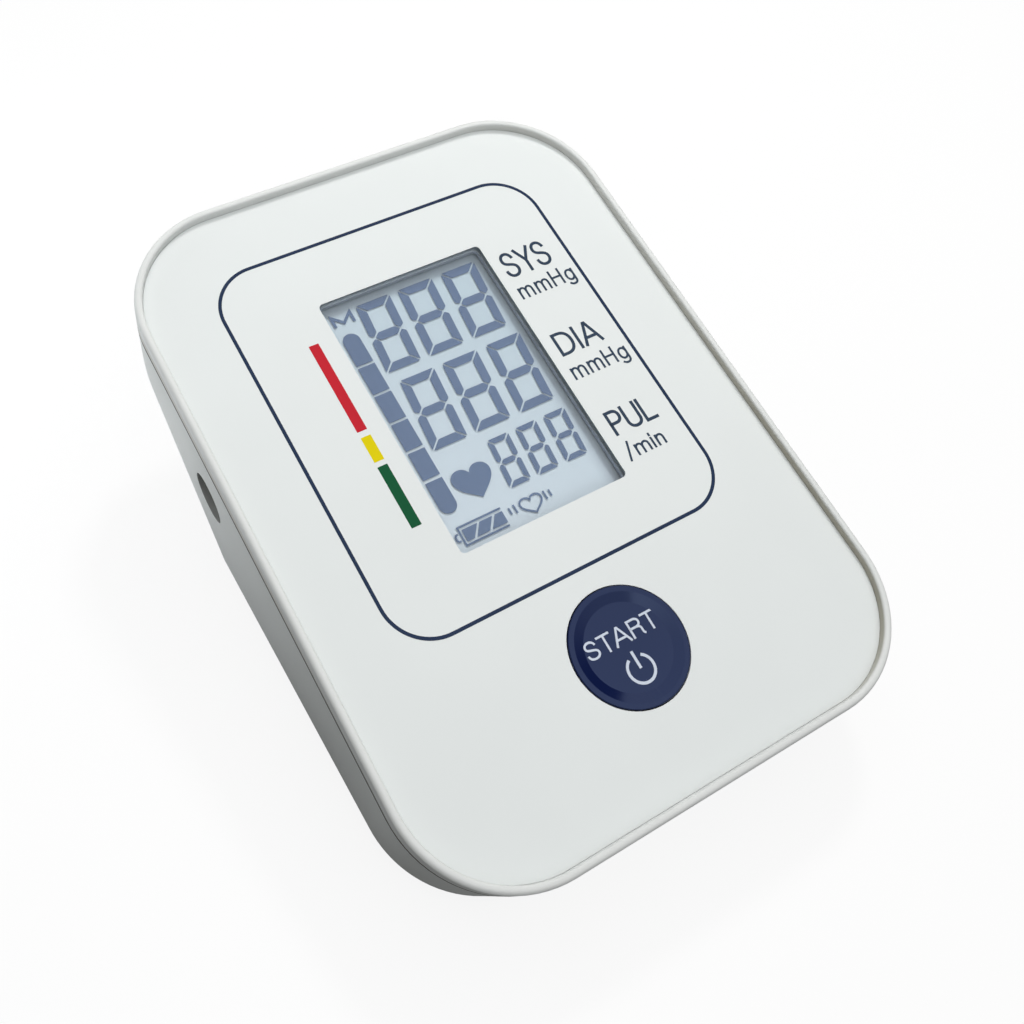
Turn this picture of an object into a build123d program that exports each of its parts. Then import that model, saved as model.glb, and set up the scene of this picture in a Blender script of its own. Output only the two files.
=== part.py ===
"""Desk unit of an upper-arm blood pressure monitor.

The face is a plane tilted towards the user. Sizes along it are called "along", heights above it "up" and
depths below it "depth", all in millimetres. The row frame has +X to the right, +Y to the rear and +Z up, and the
feet stand on Z = 0.
"""
from build123d import *
from math import cos, radians, sin, tan
import os

# ---------------------------------------------------------------- the case
CASE_W = 104.7          # width of the case across the face
CASE_L = 141.8          # length of the case along the face
CORNER_R = 22.5         # corners of the case, seen square to the face
TILT = 12.0             # degrees between the face and the table
FACE_DEPTH = 38.0       # from the face to the base, under the middle of the face
REAR_SLOPE = 33.0       # degrees between the face and the rear underside
REAR_LIP = 2.3          # height of the lower wall that is left at the rear edge
DRAFT = 1.1             # degrees of taper on the lower walls
HULL_REACH = 60.0       # how deep the walls would run without the base
WALL = 2.2              # wall of the case
EDGE_R = 1.4            # rounding of the lower case's bottom edges

RIM_H = 1.7             # height of the rolled rim above the face
RIM_W = 1.6             # width of the rim
RIM_ROUND = 1.0         # outer rounding of the rim
RIM_INNER_ROUND = 0.5   # inner rounding of the rim
SEAM_DEPTH = 3.0        # seam between the two shells, below the face
SEAM_CHAMFER = 0.2      # bevel of the upper shell along the seam
SEAM_ROUND = 0.5        # rounding of the lower shell along the seam
LIP_GAP = 0.15          # locating lip to the lower wall
LIP_T = 1.2             # thickness of the locating lip
LIP_H = 3.5             # how far the lip reaches below the web

# ---------------------------------------------------------------- face plate and window
PANEL_T = 0.5           # face plate
PANEL_GAP = 0.05        # face plate to the rim
WEB_T = 1.8             # web of the upper shell under the face plate
WINDOW_W = 37.3         # window across
WINDOW_L = 57.4         # window along
WINDOW_R = 1.0          # window corners
WINDOW_ALONG = 13.8     # window centre, rearwards of the face's middle
PANE_T = 1.0            # clear pane
PANE_LAP = 2.0          # pane's hidden margin
PANE_GAP = 0.1          # pane to its rebate
WEB_MARGIN = 1.2        # web opening beyond the window
GASKET_GAP = 0.1        # foam frame to the web

# ---------------------------------------------------------------- display
LCD_GAP = 0.1           # web to the display glass
LCD_T = 2.0             # display glass
LCD_MARGIN_W = 2.2      # glass beyond the window, each side
LCD_MARGIN_L = 3.3      # glass beyond the window, each end
REFLECTOR_T = 0.3       # back layer
REFLECTOR_INSET_W = 1.0
REFLECTOR_INSET_L = 4.0
STRIP_W = 1.8           # elastic contact strip
STRIP_INSET = 0.7       # strip to the end of the glass
FRAME_WALL = 1.6        # display frame
FRAME_GAP = 0.1         # frame to the glass
SHELF_W = 2.2           # ledge that carries the glass
SHELF_T = 1.2
SHELF_END = 5.0         # ledge to the ends of the glass

# ---------------------------------------------------------------- button and switch
BUTTON_R = 11.35
BUTTON_GAP = 0.2        # button to its hole
BUTTON_FROM_END = 27.9  # button centre to the front end of the case
BUTTON_TOP = 0.3        # button's ring above the face
BUTTON_RING = 1.1       # flat outer ring
BUTTON_SLOPE = 1.9      # slope from the ring to the dished middle
BUTTON_DISH = 0.55      # depth of the dish
BUTTON_EDGE = 0.25      # rounding of the button's edge
CAP_T = 1.4             # thickness under the dish
CAP_WALL = 1.5          # side wall of the button
FLANGE_W = 1.1          # flange that keeps the button in
FLANGE_T = 1.0
COLLAR_WALL = 1.5       # guide collar in the upper shell
COLLAR_H = 2.2          # collar below the web
STOP_GAP = 0.05         # collar to flange, button at rest
STEM_R = 2.4            # stem that pushes the switch
BUTTON_TRAVEL = 0.6
KEY_W = 2.4             # key that stops the button turning
KEY_GAP = 0.15
SWITCH_SIZE = 6.0
SWITCH_H = 3.5
PLUNGER_R = 1.7
PLUNGER_GAP = 0.05
PLUNGER_UP = 0.7        # plunger above the switch body
PLUNGER_IN = 1.5        # plunger inside the switch body

# ---------------------------------------------------------------- circuit board
BOARD_GAP = 3.3         # display's strips: glass underside to the board
BOARD_T = 1.6
BOARD_W = 60.0
BOARD_FROM_FRONT = 15.0 # ends of the board to the ends of the case
BOARD_FROM_REAR = 21.0
BOARD_R = 2.0
NOTCH_GAP = 4.0         # notch in the left edge, clear of the pump
NOTCH_FROM_FRONT = 10.0
NOTCH_FROM_REAR = 25.0
BOARD_SCREW_INSET = 3.5 # screws to the side edges
BOARD_SCREW_FROM_END = 6.0
POST_R = 3.0
BOARD_SCREW_R = 1.1
BOARD_SCREW_L = 5.0
BOARD_HEAD_R = 2.1
BOARD_HEAD_T = 1.4
SCREW_GAP = 0.05        # screw to its hole
CHIP_SIZE = 12.0
CHIP_T = 1.6
CHIP_ALONG = -6.0
ANALOG_W = 7.0
ANALOG_L = 9.0
ANALOG_ACROSS = 14.0
BUZZER_R = 6.0
BUZZER_H = 5.5
BUZZER_ACROSS = 12.0
BUZZER_ALONG = 16.0
BUZZER_PORT_R = 1.0
CAPACITOR_R = 3.15
CAPACITOR_H = 8.0
CAPACITOR_PITCH = 8.0
CAPACITOR_ALONG = 38.0
CAPACITOR_GROOVE = 0.3

# ---------------------------------------------------------------- case screws
SCREW_FROM_SIDE = 10.5  # screws to the sides and ends of the case
SCREW_FROM_FRONT = 13.0
SCREW_FROM_REAR = 19.0
SCREW_R = 1.5
SCREW_HEAD_R = 2.9
SCREW_HEAD_T = 1.9
SCREW_CROSS = 0.6       # cross recess, width
SCREW_CROSS_D = 1.0
BOSS_TOP_R = 3.6
BOSS_R = 4.2
BOSS_DEPTH = 8.0        # where the bosses of both shells meet
HEAD_DEPTH = 12.5       # seat of the screw heads
HEAD_GAP = 0.3
SCREW_TIP_DEPTH = 4.4

# ---------------------------------------------------------------- feet
FOOT_H = 1.0            # feet below the base
FOOT_W = 3.6
FOOT_L = 14.0
FOOT_SEAT = 0.6         # recess for a foot
FOOT_GAP = 0.05
FOOT_EDGE = 0.4         # foot's bevel
FOOT_FROM_FRONT = 31.5
FOOT_FROM_SIDE = 4.9    # feet to the sides of the case
FOOT_FROM_KINK = 15.4   # rear feet to the base's rear end

# ---------------------------------------------------------------- battery bay
CELL_R = 7.1
CELL_L = 49.2
NUB_R = 2.7
NUB_L = 1.2
CELL_EDGE = 0.5         # cell's bevelled ends
CELL_PITCH = 14.5
CELLS = 4
CELL_AIR = 0.3          # free space above and below a cell
BAY_SIDE = 0.4          # outer cells to the bay's walls
BAY_WALL = 1.5
BAY_ROOF_T = 1.5
BAY_LEDGE = 16.0        # thick floor over the cover's rear edge
BAY_FROM_KINK = 5.3     # bay's rear end to the base's rear end
CONTACT_ROOM = 2.6      # behind each end of a cell
DIVIDER_T = 1.2
DIVIDER_H = 4.0
COVER_SKIN = 1.0        # part of the cover that is flush with the base
COVER_TONGUE = 1.0      # thickness of the tongues
TONGUE_W = 1.3          # tongue beyond the opening
COVER_GAP = 0.2
GROOVE_GAP = 0.1
GRIP_W = 1.0            # grip ribs on the cover
GRIP_L = 16.0
GRIP_PITCH = 2.4
GRIPS = 5
GRIP_CUT = 0.4
CONTACT_T = 0.4
CONTACT_W = 9.0
CONTACT_H = 11.0
CONTACT_GAP = 0.05      # contact to the cell
LEAF_W = 5.0

# ---------------------------------------------------------------- air path
SOCKET_ALONG = 21.3     # socket centre along the face
SOCKET_DEPTH = 18.0     # socket centre below the face
PORT_R = 5.4            # hole in the wall
SOCKET_R = 7.0
SOCKET_L = 11.0
SOCKET_BORE_R = 4.5
SOCKET_BORE_L = 9.5
SOCKET_COLLAR = 1.2     # ring on the wall that holds the socket
SOCKET_COLLAR_L = 5.0
SOCKET_GAP = 0.1
SEAL_MINOR = 0.9
SEAL_FROM_MOUTH = 3.0
SEAL_CLEAR = 0.05
BARB_R = 1.5
BARB_BORE_R = 0.7
BARB_L = 2.4
TUBE_R = 2.5
TUBE_FIT = 0.02
TUBE_END = 0.1          # tube end to the shoulder
SOCKET_TUBE_L = 5.3
SENSOR_TUBE_L = 5.3
PUMP_TUBE_L = 12.5
MANIFOLD_R = 3.0
MANIFOLD_BOTTOM = 12.2
PUMP_SIDE = 0.4         # cushion to the side wall
PUMP_R = 10.0
PUMP_HEAD_L = 18.0
PUMP_HEAD_SIZE = 19.0
PUMP_HEAD_R = 3.0
PUMP_GROOVE = 0.7
MOTOR_L = 24.0
MOTOR_FLAT = 8.6        # motor's flats, from its axis
MOTOR_BOSS_R = 3.0
MOTOR_BOSS_L = 1.0
SLEEVE_T = 0.9
SLEEVE_INSET = 2.0
SADDLE_T = 1.6
SADDLE_TOP = 9.0
SADDLE_GAP = 0.05
VALVE_UP = 2.0          # valve's axis above the socket's axis
VALVE_R = 5.6
VALVE_GAP = 0.8         # manifold to the valve
VALVE_L = 9.0
VALVE_PLATE = 1.0
VALVE_PLATE_SIZE = 12.0
BLEED_R = 2.6
BLEED_L = 4.0
SENSOR_W = 9.5
SENSOR_L = 10.0
SENSOR_H = 5.0
SENSOR_PORT_DEPTH = 2.7

# ---------------------------------------------------------------- adapter jack
JACK_ALONG = 14.4
JACK_DEPTH = 15.0
JACK_L = 13.0
JACK_W = 9.0
JACK_H = 10.0
JACK_R = 3.2
JACK_BORE_L = 9.5
JACK_PIN_R = 1.0
JACK_NOSE_R = 3.9
JACK_GAP = 0.1

# ---------------------------------------------------------------- derived places
tilt = radians(TILT)
draft = tan(radians(DRAFT))
face_z = FOOT_H + FACE_DEPTH * cos(tilt)
face_y = -0.5 * (SEAM_DEPTH + REAR_LIP - EDGE_R) * sin(tilt)
FACE = Plane(origin=(0, face_y, face_z), x_dir=(1, 0, 0), z_dir=(0, -sin(tilt), cos(tilt)))
UP = Axis(FACE.origin, FACE.z_dir)
BASE = Plane.XY.offset(FOOT_H)

web_depth = PANEL_T + WEB_T
lcd_depth = web_depth + LCD_GAP
board_depth = lcd_depth + LCD_T + BOARD_GAP
board_under = board_depth + BOARD_T
switch_depth = board_depth - SWITCH_H
stem_depth = switch_depth - PLUNGER_UP
flange_depth = web_depth + COLLAR_H + STOP_GAP

lcd_w = WINDOW_W + 2 * LCD_MARGIN_W
lcd_l = WINDOW_L + 2 * LCD_MARGIN_L
button_along = BUTTON_FROM_END - CASE_L / 2
board_front = BOARD_FROM_FRONT - CASE_L / 2
board_rear = CASE_L / 2 - BOARD_FROM_REAR
case_screws_at = [
    (side * (CASE_W / 2 - SCREW_FROM_SIDE), along)
    for side in (-1, 1)
    for along in (SCREW_FROM_FRONT - CASE_L / 2, CASE_L / 2 - SCREW_FROM_REAR)
]
board_screws_at = [
    (side * (BOARD_W / 2 - BOARD_SCREW_INSET), along)
    for side in (-1, 1)
    for along in (board_front + BOARD_SCREW_FROM_END, board_rear - BOARD_SCREW_FROM_END)
]


def face(depth):
    """Plane parallel to the face, so far below it."""
    return FACE.offset(-depth)


def on_face(x, along, depth):
    """Point in the row frame of a place given on the face."""
    return FACE.from_local_coords(Vector(x, along, -depth))


def direction(along, up):
    """Direction in the row frame of a direction given in the face's lengthwise section."""
    return on_face(0, along, -up) - FACE.origin


slope = radians(REAR_SLOPE)
REAR = Plane(
    origin=on_face(0, CASE_L / 2, SEAM_DEPTH + REAR_LIP),
    x_dir=(1, 0, 0),
    z_dir=direction(-sin(slope), cos(slope)),
)
kink_y = REAR.origin.Y + (REAR.origin.Z - FOOT_H) * REAR.z_dir.Z / REAR.z_dir.Y
socket_at = on_face(0, SOCKET_ALONG, SOCKET_DEPTH)
jack_at = on_face(0, JACK_ALONG, JACK_DEPTH)


def inner_wall(depth):
    """Distance of the side wall's inner surface from the middle, so far below the face."""
    return CASE_W / 2 - WALL - (depth - SEAM_DEPTH) * draft


# feet
foot_x = CASE_W / 2 - FOOT_FROM_SIDE
foot_front_y = FOOT_FROM_FRONT - CASE_L / 2
foot_rear_y = kink_y - FOOT_FROM_KINK
feet_at = {
    "foot_front_left": (-foot_x, foot_front_y),
    "foot_front_right": (foot_x, foot_front_y),
    "foot_rear_left": (-foot_x, foot_rear_y),
    "foot_rear_right": (foot_x, foot_rear_y),
}

# air path and pump, along the left wall
socket_face = inner_wall(SOCKET_DEPTH + SOCKET_R) - SOCKET_GAP
socket_end = socket_face - SOCKET_L
manifold_x = -socket_end + SOCKET_TUBE_L + 2 * TUBE_END + MANIFOLD_R
valve_z = socket_at.Z + VALVE_UP
sleeve_r = PUMP_R + SLEEVE_T
base_wall = inner_wall(FACE_DEPTH)
pump_x = sleeve_r + PUMP_SIDE - base_wall
pump_z = FOOT_H + WALL + 2 * SADDLE_GAP + sleeve_r
pump_rear = socket_at.Y - MANIFOLD_R - PUMP_TUBE_L - 2 * TUBE_END
head_y = pump_rear - PUMP_HEAD_L
pump_front = head_y - MOTOR_L
jack_face = inner_wall(JACK_DEPTH + JACK_H / 2) - JACK_GAP

# battery bay, midway between the pump and the right wall
bay_x = (base_wall + pump_x + sleeve_r) / 2
cover_top = FOOT_H + COVER_SKIN + COVER_TONGUE
cell_z = cover_top + CELL_AIR + CELL_R
bay_roof = cell_z + CELL_R + CELL_AIR
bay_w = (CELLS - 1) * CELL_PITCH + 2 * (CELL_R + BAY_SIDE)
bay_l = CELL_L + NUB_L + 2 * CONTACT_ROOM
bay_rear = kink_y - BAY_FROM_KINK
bay_front = bay_rear - bay_l
bay_y = bay_rear - bay_l / 2
cells_x = [bay_x + (i - (CELLS - 1) / 2) * CELL_PITCH for i in range(CELLS)]


def save(piece, name):
    """Label a finished piece and write its STEP file."""
    piece.part.label = name
    export_step(piece.part, f"parts/{name}.step")


def outline(inset, mode=Mode.ADD):
    """Case outline, inset by so much, in the open sketch."""
    RectangleRounded(CASE_W - 2 * inset, CASE_L - 2 * inset, CORNER_R - inset, mode=mode)


def hull(inset):
    """Wedge of the lower case, inset by so much on every side: drafted walls, flat base, rising rear."""
    with BuildPart() as wedge:
        with BuildSketch(face(SEAM_DEPTH)):
            outline(inset)
        with BuildSketch(face(SEAM_DEPTH + HULL_REACH)):
            outline(inset + HULL_REACH * draft)
        loft(ruled=True)
        split(bisect_by=BASE.offset(inset), keep=Keep.TOP)
        split(bisect_by=REAR.offset(inset), keep=Keep.TOP)
    return wedge.part


def towards(x, y, z, way):
    """Plane at a point with its normal along one of the row's directions."""
    return Plane(origin=(x, y, z), z_dir=way)


os.makedirs("parts", exist_ok=True)

# ================================================================ upper shell
with BuildPart() as locating_lip:
    with BuildSketch(face(web_depth)):
        outline(WALL + LIP_GAP)
        outline(WALL + LIP_GAP + LIP_T, mode=Mode.SUBTRACT)
    extrude(amount=-LIP_H)
    split(bisect_by=REAR.offset(WALL + LIP_GAP), keep=Keep.TOP)

with BuildPart() as top_case:
    with BuildSketch(face(SEAM_DEPTH)):
        outline(0)
    extrude(amount=SEAM_DEPTH + RIM_H)
    fillet(top_case.faces().sort_by(UP)[-1].edges(), RIM_ROUND)
    chamfer(top_case.faces().sort_by(UP)[0].edges(), SEAM_CHAMFER)
    # pocket for the face plate, inside the rim
    with BuildSketch(face(PANEL_T)):
        outline(RIM_W)
    extrude(amount=PANEL_T + RIM_H, mode=Mode.SUBTRACT)
    fillet(top_case.faces().sort_by(UP)[-1].inner_wires()[0].edges(), RIM_INNER_ROUND)
    # hollow inside the skirt, and the lip that drops inside the lower shell
    with BuildSketch(face(SEAM_DEPTH)):
        outline(WALL)
    extrude(amount=SEAM_DEPTH - web_depth, mode=Mode.SUBTRACT)
    add(locating_lip.part)
    # screw bosses, board posts and the button's guide collar
    with BuildSketch(face(web_depth)):
        with Locations(*case_screws_at):
            Circle(BOSS_TOP_R)
    extrude(amount=web_depth - BOSS_DEPTH)
    with BuildSketch(face(web_depth)):
        with Locations(*board_screws_at):
            Circle(POST_R)
    extrude(amount=web_depth - board_depth)
    with BuildSketch(face(web_depth)):
        with Locations((0, button_along)):
            Circle(BUTTON_R + BUTTON_GAP + COLLAR_WALL)
    extrude(amount=-COLLAR_H)
    with BuildSketch(face(web_depth + COLLAR_H)):
        with Locations((0, button_along - BUTTON_R - BUTTON_GAP - COLLAR_WALL / 2)):
            Rectangle(KEY_W, COLLAR_WALL)
    extrude(amount=-FLANGE_T)
    # holes: screws, button, pane
    with BuildSketch(face(BOSS_DEPTH)):
        with Locations(*case_screws_at):
            Circle(SCREW_R + SCREW_GAP)
    extrude(amount=BOSS_DEPTH - SCREW_TIP_DEPTH, mode=Mode.SUBTRACT)
    with BuildSketch(face(board_depth)):
        with Locations(*board_screws_at):
            Circle(BOARD_SCREW_R + SCREW_GAP)
    extrude(amount=BOARD_SCREW_L - BOARD_T + SCREW_GAP, mode=Mode.SUBTRACT)
    with BuildSketch(face(web_depth + COLLAR_H)):
        with Locations((0, button_along)):
            Circle(BUTTON_R + BUTTON_GAP)
    extrude(amount=COLLAR_H + WEB_T, mode=Mode.SUBTRACT)
    with BuildSketch(face(web_depth)):
        with Locations((0, WINDOW_ALONG)):
            RectangleRounded(WINDOW_W + 2 * WEB_MARGIN, WINDOW_L + 2 * WEB_MARGIN, WINDOW_R)
    extrude(amount=WEB_T, mode=Mode.SUBTRACT)
    with BuildSketch(face(PANEL_T + PANE_T)):
        with Locations((0, WINDOW_ALONG)):
            RectangleRounded(
                WINDOW_W + 2 * (PANE_LAP + PANE_GAP), WINDOW_L + 2 * (PANE_LAP + PANE_GAP), WINDOW_R + PANE_LAP
            )
    extrude(amount=PANE_T, mode=Mode.SUBTRACT)
save(top_case, "top_case")

# ================================================================ face plate and pane
with BuildPart() as front_panel:
    with BuildSketch(face(PANEL_T)):
        outline(RIM_W + PANEL_GAP)
        with Locations((0, WINDOW_ALONG)):
            RectangleRounded(WINDOW_W, WINDOW_L, WINDOW_R, mode=Mode.SUBTRACT)
        with Locations((0, button_along)):
            Circle(BUTTON_R + BUTTON_GAP, mode=Mode.SUBTRACT)
    extrude(amount=PANEL_T)
save(front_panel, "front_panel")

with BuildPart() as display_window:
    with BuildSketch(face(PANEL_T + PANE_T)):
        with Locations((0, WINDOW_ALONG)):
            RectangleRounded(WINDOW_W + 2 * PANE_LAP, WINDOW_L + 2 * PANE_LAP, WINDOW_R + PANE_LAP)
    extrude(amount=PANE_T)
save(display_window, "display_window")

# ================================================================ display
with BuildPart() as display_gasket:
    with BuildSketch(face(lcd_depth)):
        with Locations((0, WINDOW_ALONG)):
            RectangleRounded(
                WINDOW_W + 2 * (WEB_MARGIN - GASKET_GAP), WINDOW_L + 2 * (WEB_MARGIN - GASKET_GAP), WINDOW_R
            )
            RectangleRounded(WINDOW_W, WINDOW_L, WINDOW_R, mode=Mode.SUBTRACT)
    extrude(amount=lcd_depth - PANEL_T - PANE_T)
save(display_gasket, "display_gasket")

with BuildPart() as lcd_glass:
    with BuildSketch(face(lcd_depth + LCD_T)):
        with Locations((0, WINDOW_ALONG)):
            Rectangle(lcd_w, lcd_l)
    extrude(amount=LCD_T)
save(lcd_glass, "lcd_glass")

with BuildPart() as lcd_reflector:
    with BuildSketch(face(lcd_depth + LCD_T + REFLECTOR_T)):
        with Locations((0, WINDOW_ALONG)):
            Rectangle(lcd_w - 2 * REFLECTOR_INSET_W, lcd_l - 2 * REFLECTOR_INSET_L)
    extrude(amount=REFLECTOR_T)
save(lcd_reflector, "lcd_reflector")

strip_along = lcd_l / 2 - STRIP_INSET - STRIP_W / 2
with BuildPart() as contact_strips:
    with BuildSketch(face(board_depth)):
        with Locations((0, WINDOW_ALONG - strip_along), (0, WINDOW_ALONG + strip_along)):
            Rectangle(lcd_w - 2 * REFLECTOR_INSET_W, STRIP_W)
    extrude(amount=BOARD_GAP)
save(contact_strips, "contact_strips")

frame_in_w = lcd_w + 2 * FRAME_GAP
frame_in_l = lcd_l + 2 * FRAME_GAP
shelf_top = lcd_depth + LCD_T + REFLECTOR_T + LCD_GAP
with BuildPart() as display_frame:
    with BuildSketch(face(board_depth)):
        with Locations((0, WINDOW_ALONG)):
            Rectangle(frame_in_w + 2 * FRAME_WALL, frame_in_l + 2 * FRAME_WALL)
            Rectangle(frame_in_w, frame_in_l, mode=Mode.SUBTRACT)
    extrude(amount=board_depth - web_depth)
    with BuildSketch(face(shelf_top + SHELF_T)):
        with Locations((0, WINDOW_ALONG)):
            Rectangle(frame_in_w, lcd_l - 2 * SHELF_END)
            Rectangle(frame_in_w - 2 * SHELF_W, lcd_l - 2 * SHELF_END, mode=Mode.SUBTRACT)
    extrude(amount=SHELF_T)
save(display_frame, "display_frame")

# ================================================================ button and switch
button_foot = on_face(0, button_along, 0)
BUTTON_SECTION = Plane(origin=button_foot, x_dir=(1, 0, 0), z_dir=direction(-1, 0))
dish_up = BUTTON_TOP - BUTTON_DISH
skirt_r = BUTTON_R - CAP_WALL
with BuildPart() as start_button:
    with BuildSketch(BUTTON_SECTION) as button_profile:
        with BuildLine():
            Polyline(
                (0, dish_up),
                (BUTTON_R - BUTTON_RING - BUTTON_SLOPE, dish_up),
                (BUTTON_R - BUTTON_RING, BUTTON_TOP),
                (BUTTON_R, BUTTON_TOP),
                (BUTTON_R, -flange_depth),
                (BUTTON_R + FLANGE_W, -flange_depth),
                (BUTTON_R + FLANGE_W, -flange_depth - FLANGE_T),
                (skirt_r, -flange_depth - FLANGE_T),
                (skirt_r, dish_up - CAP_T),
                (STEM_R, dish_up - CAP_T),
                (STEM_R, -stem_depth),
                (0, -stem_depth),
                close=True,
            )
        make_face()
        fillet(button_profile.vertices().group_by(Axis.Y)[-1], BUTTON_EDGE)
    revolve(axis=Axis(button_foot, FACE.z_dir))
    # notch for the key under the collar
    with BuildSketch(face(flange_depth + FLANGE_T)):
        with Locations((0, button_along - BUTTON_R - FLANGE_W)):
            Rectangle(KEY_W + 2 * KEY_GAP, 2 * FLANGE_W + BUTTON_GAP)
    extrude(amount=FLANGE_T, mode=Mode.SUBTRACT)
save(start_button, "start_button")

with BuildPart() as switch_body:
    with BuildSketch(face(board_depth)):
        with Locations((0, button_along)):
            Rectangle(SWITCH_SIZE, SWITCH_SIZE)
    extrude(amount=SWITCH_H)
    chamfer(switch_body.faces().sort_by(UP)[-1].edges(), SWITCH_SIZE / 20)
    with BuildSketch(face(switch_depth)):
        with Locations((0, button_along)):
            Circle(PLUNGER_R + PLUNGER_GAP)
    extrude(amount=-(PLUNGER_IN + BUTTON_TRAVEL + PLUNGER_GAP), mode=Mode.SUBTRACT)
save(switch_body, "switch_body")

with BuildPart() as switch_plunger:
    with BuildSketch(face(switch_depth + PLUNGER_IN)):
        with Locations((0, button_along)):
            Circle(PLUNGER_R)
    extrude(amount=PLUNGER_IN + PLUNGER_UP)
save(switch_plunger, "switch_plunger")

# ================================================================ circuit board
board_l = board_rear - board_front
notch_x = pump_x + sleeve_r + NOTCH_GAP
notch_front = board_front + NOTCH_FROM_FRONT
notch_rear = board_rear - NOTCH_FROM_REAR
with BuildPart() as main_board:
    with BuildSketch(face(board_under)):
        with Locations((0, (board_rear + board_front) / 2)):
            RectangleRounded(BOARD_W, board_l, BOARD_R)
        with Locations((notch_x, (notch_front + notch_rear) / 2)):
            Rectangle(BOARD_W, notch_rear - notch_front, align=(Align.MAX, Align.CENTER), mode=Mode.SUBTRACT)
        with Locations(*board_screws_at):
            Circle(BOARD_SCREW_R + SCREW_GAP, mode=Mode.SUBTRACT)
    extrude(amount=BOARD_T)
save(main_board, "main_board")

with BuildPart() as controller_chip:
    with BuildSketch(face(board_under)):
        with Locations((0, CHIP_ALONG)):
            Rectangle(CHIP_SIZE, CHIP_SIZE)
    extrude(amount=-CHIP_T, taper=8)
save(controller_chip, "controller_chip")

with BuildPart() as analog_chip:
    with BuildSketch(face(board_under)):
        with Locations((ANALOG_ACROSS, CHIP_ALONG)):
            Rectangle(ANALOG_W, ANALOG_L)
    extrude(amount=-CHIP_T, taper=8)
save(analog_chip, "analog_chip")

with BuildPart() as buzzer:
    with BuildSketch(face(board_under)):
        with Locations((BUZZER_ACROSS, BUZZER_ALONG)):
            Circle(BUZZER_R)
    extrude(amount=-BUZZER_H)
    with BuildSketch(face(board_under + BUZZER_H)):
        with Locations((BUZZER_ACROSS, BUZZER_ALONG)):
            Circle(BUZZER_PORT_R)
    extrude(amount=BUZZER_H / 2, mode=Mode.SUBTRACT)
save(buzzer, "buzzer")

with BuildPart() as board_capacitors:
    for side in (-1, 1):
        can_at = on_face(side * CAPACITOR_PITCH / 2, CAPACITOR_ALONG, board_under)
        with BuildSketch(Plane(origin=can_at, x_dir=(1, 0, 0), z_dir=direction(-1, 0))):
            with BuildLine():
                Polyline(
                    (0, 0),
                    (CAPACITOR_R, 0),
                    (CAPACITOR_R, -CAPACITOR_H / 6),
                    (CAPACITOR_R - CAPACITOR_GROOVE, -CAPACITOR_H / 4),
                    (CAPACITOR_R, -CAPACITOR_H / 3),
                    (CAPACITOR_R, -CAPACITOR_H),
                    (0, -CAPACITOR_H),
                    close=True,
                )
            make_face()
        revolve(axis=Axis(can_at, FACE.z_dir))
save(board_capacitors, "board_capacitors")

with BuildPart() as board_screws:
    with BuildSketch(face(board_under)):
        with Locations(*board_screws_at):
            Circle(BOARD_HEAD_R)
    extrude(amount=-BOARD_HEAD_T)
    with BuildSketch(face(board_under)):
        with Locations(*board_screws_at):
            Circle(BOARD_SCREW_R)
    extrude(amount=BOARD_SCREW_L)
    with BuildSketch(face(board_under + BOARD_HEAD_T)):
        with Locations(*board_screws_at):
            Rectangle(BOARD_HEAD_R, SCREW_CROSS)
            Rectangle(SCREW_CROSS, BOARD_HEAD_R)
    extrude(amount=BOARD_HEAD_T / 2, mode=Mode.SUBTRACT)
save(board_screws, "board_screws")

# ================================================================ lower shell
saddles_y = (pump_front + 3 * SLEEVE_INSET, head_y - 3 * SLEEVE_INSET)
valve_y = socket_at.Y + MANIFOLD_R + VALVE_GAP
valve_saddle_y = valve_y + VALVE_L / 2
jack_under = jack_at.Z - JACK_H / 2
with BuildPart() as inner_ribs:
    # screw bosses
    with BuildSketch(face(BOSS_DEPTH)):
        with Locations(*case_screws_at):
            Circle(BOSS_R)
    extrude(amount=-FACE_DEPTH)
    # battery bay
    with Locations((bay_x, bay_y, bay_roof / 2 + BAY_ROOF_T / 2)):
        Box(bay_w + 2 * BAY_WALL, bay_l + 2 * BAY_WALL, bay_roof + BAY_ROOF_T)
    with Locations((bay_x, bay_rear, (cover_top + BAY_ROOF_T) / 2)):
        Box(bay_w + 2 * BAY_WALL, BAY_LEDGE, cover_top + BAY_ROOF_T)
    # pump and valve saddles
    for saddle_y in saddles_y:
        with Locations((pump_x, saddle_y, SADDLE_TOP / 2)):
            Box(2 * PUMP_R, SADDLE_T, SADDLE_TOP)
    with Locations((pump_x, (saddles_y[0] + saddles_y[1]) / 2, pump_z)):
        Cylinder(sleeve_r + SADDLE_GAP, MOTOR_L, rotation=(90, 0, 0), mode=Mode.SUBTRACT)
    with Locations((manifold_x, valve_saddle_y, valve_z / 2)):
        Box(2 * VALVE_R, SADDLE_T, valve_z)
    with Locations((manifold_x, valve_saddle_y, valve_z)):
        Cylinder(VALVE_R + SADDLE_GAP, 2 * SADDLE_T, rotation=(90, 0, 0), mode=Mode.SUBTRACT)
    # ring that holds the air socket, and the post under the adapter jack
    with BuildSketch(towards(-CASE_W / 2, socket_at.Y, socket_at.Z, (1, 0, 0))):
        Circle(SOCKET_R + SOCKET_GAP + SOCKET_COLLAR)
        Circle(SOCKET_R + SOCKET_GAP, mode=Mode.SUBTRACT)
    extrude(amount=CASE_W / 2 - socket_face + SOCKET_COLLAR_L)
    with Locations((jack_face - JACK_L / 3, jack_at.Y, jack_under / 2)):
        Box(SADDLE_T, JACK_W, jack_under)
    add(hull(WALL / 2), mode=Mode.INTERSECT)

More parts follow.
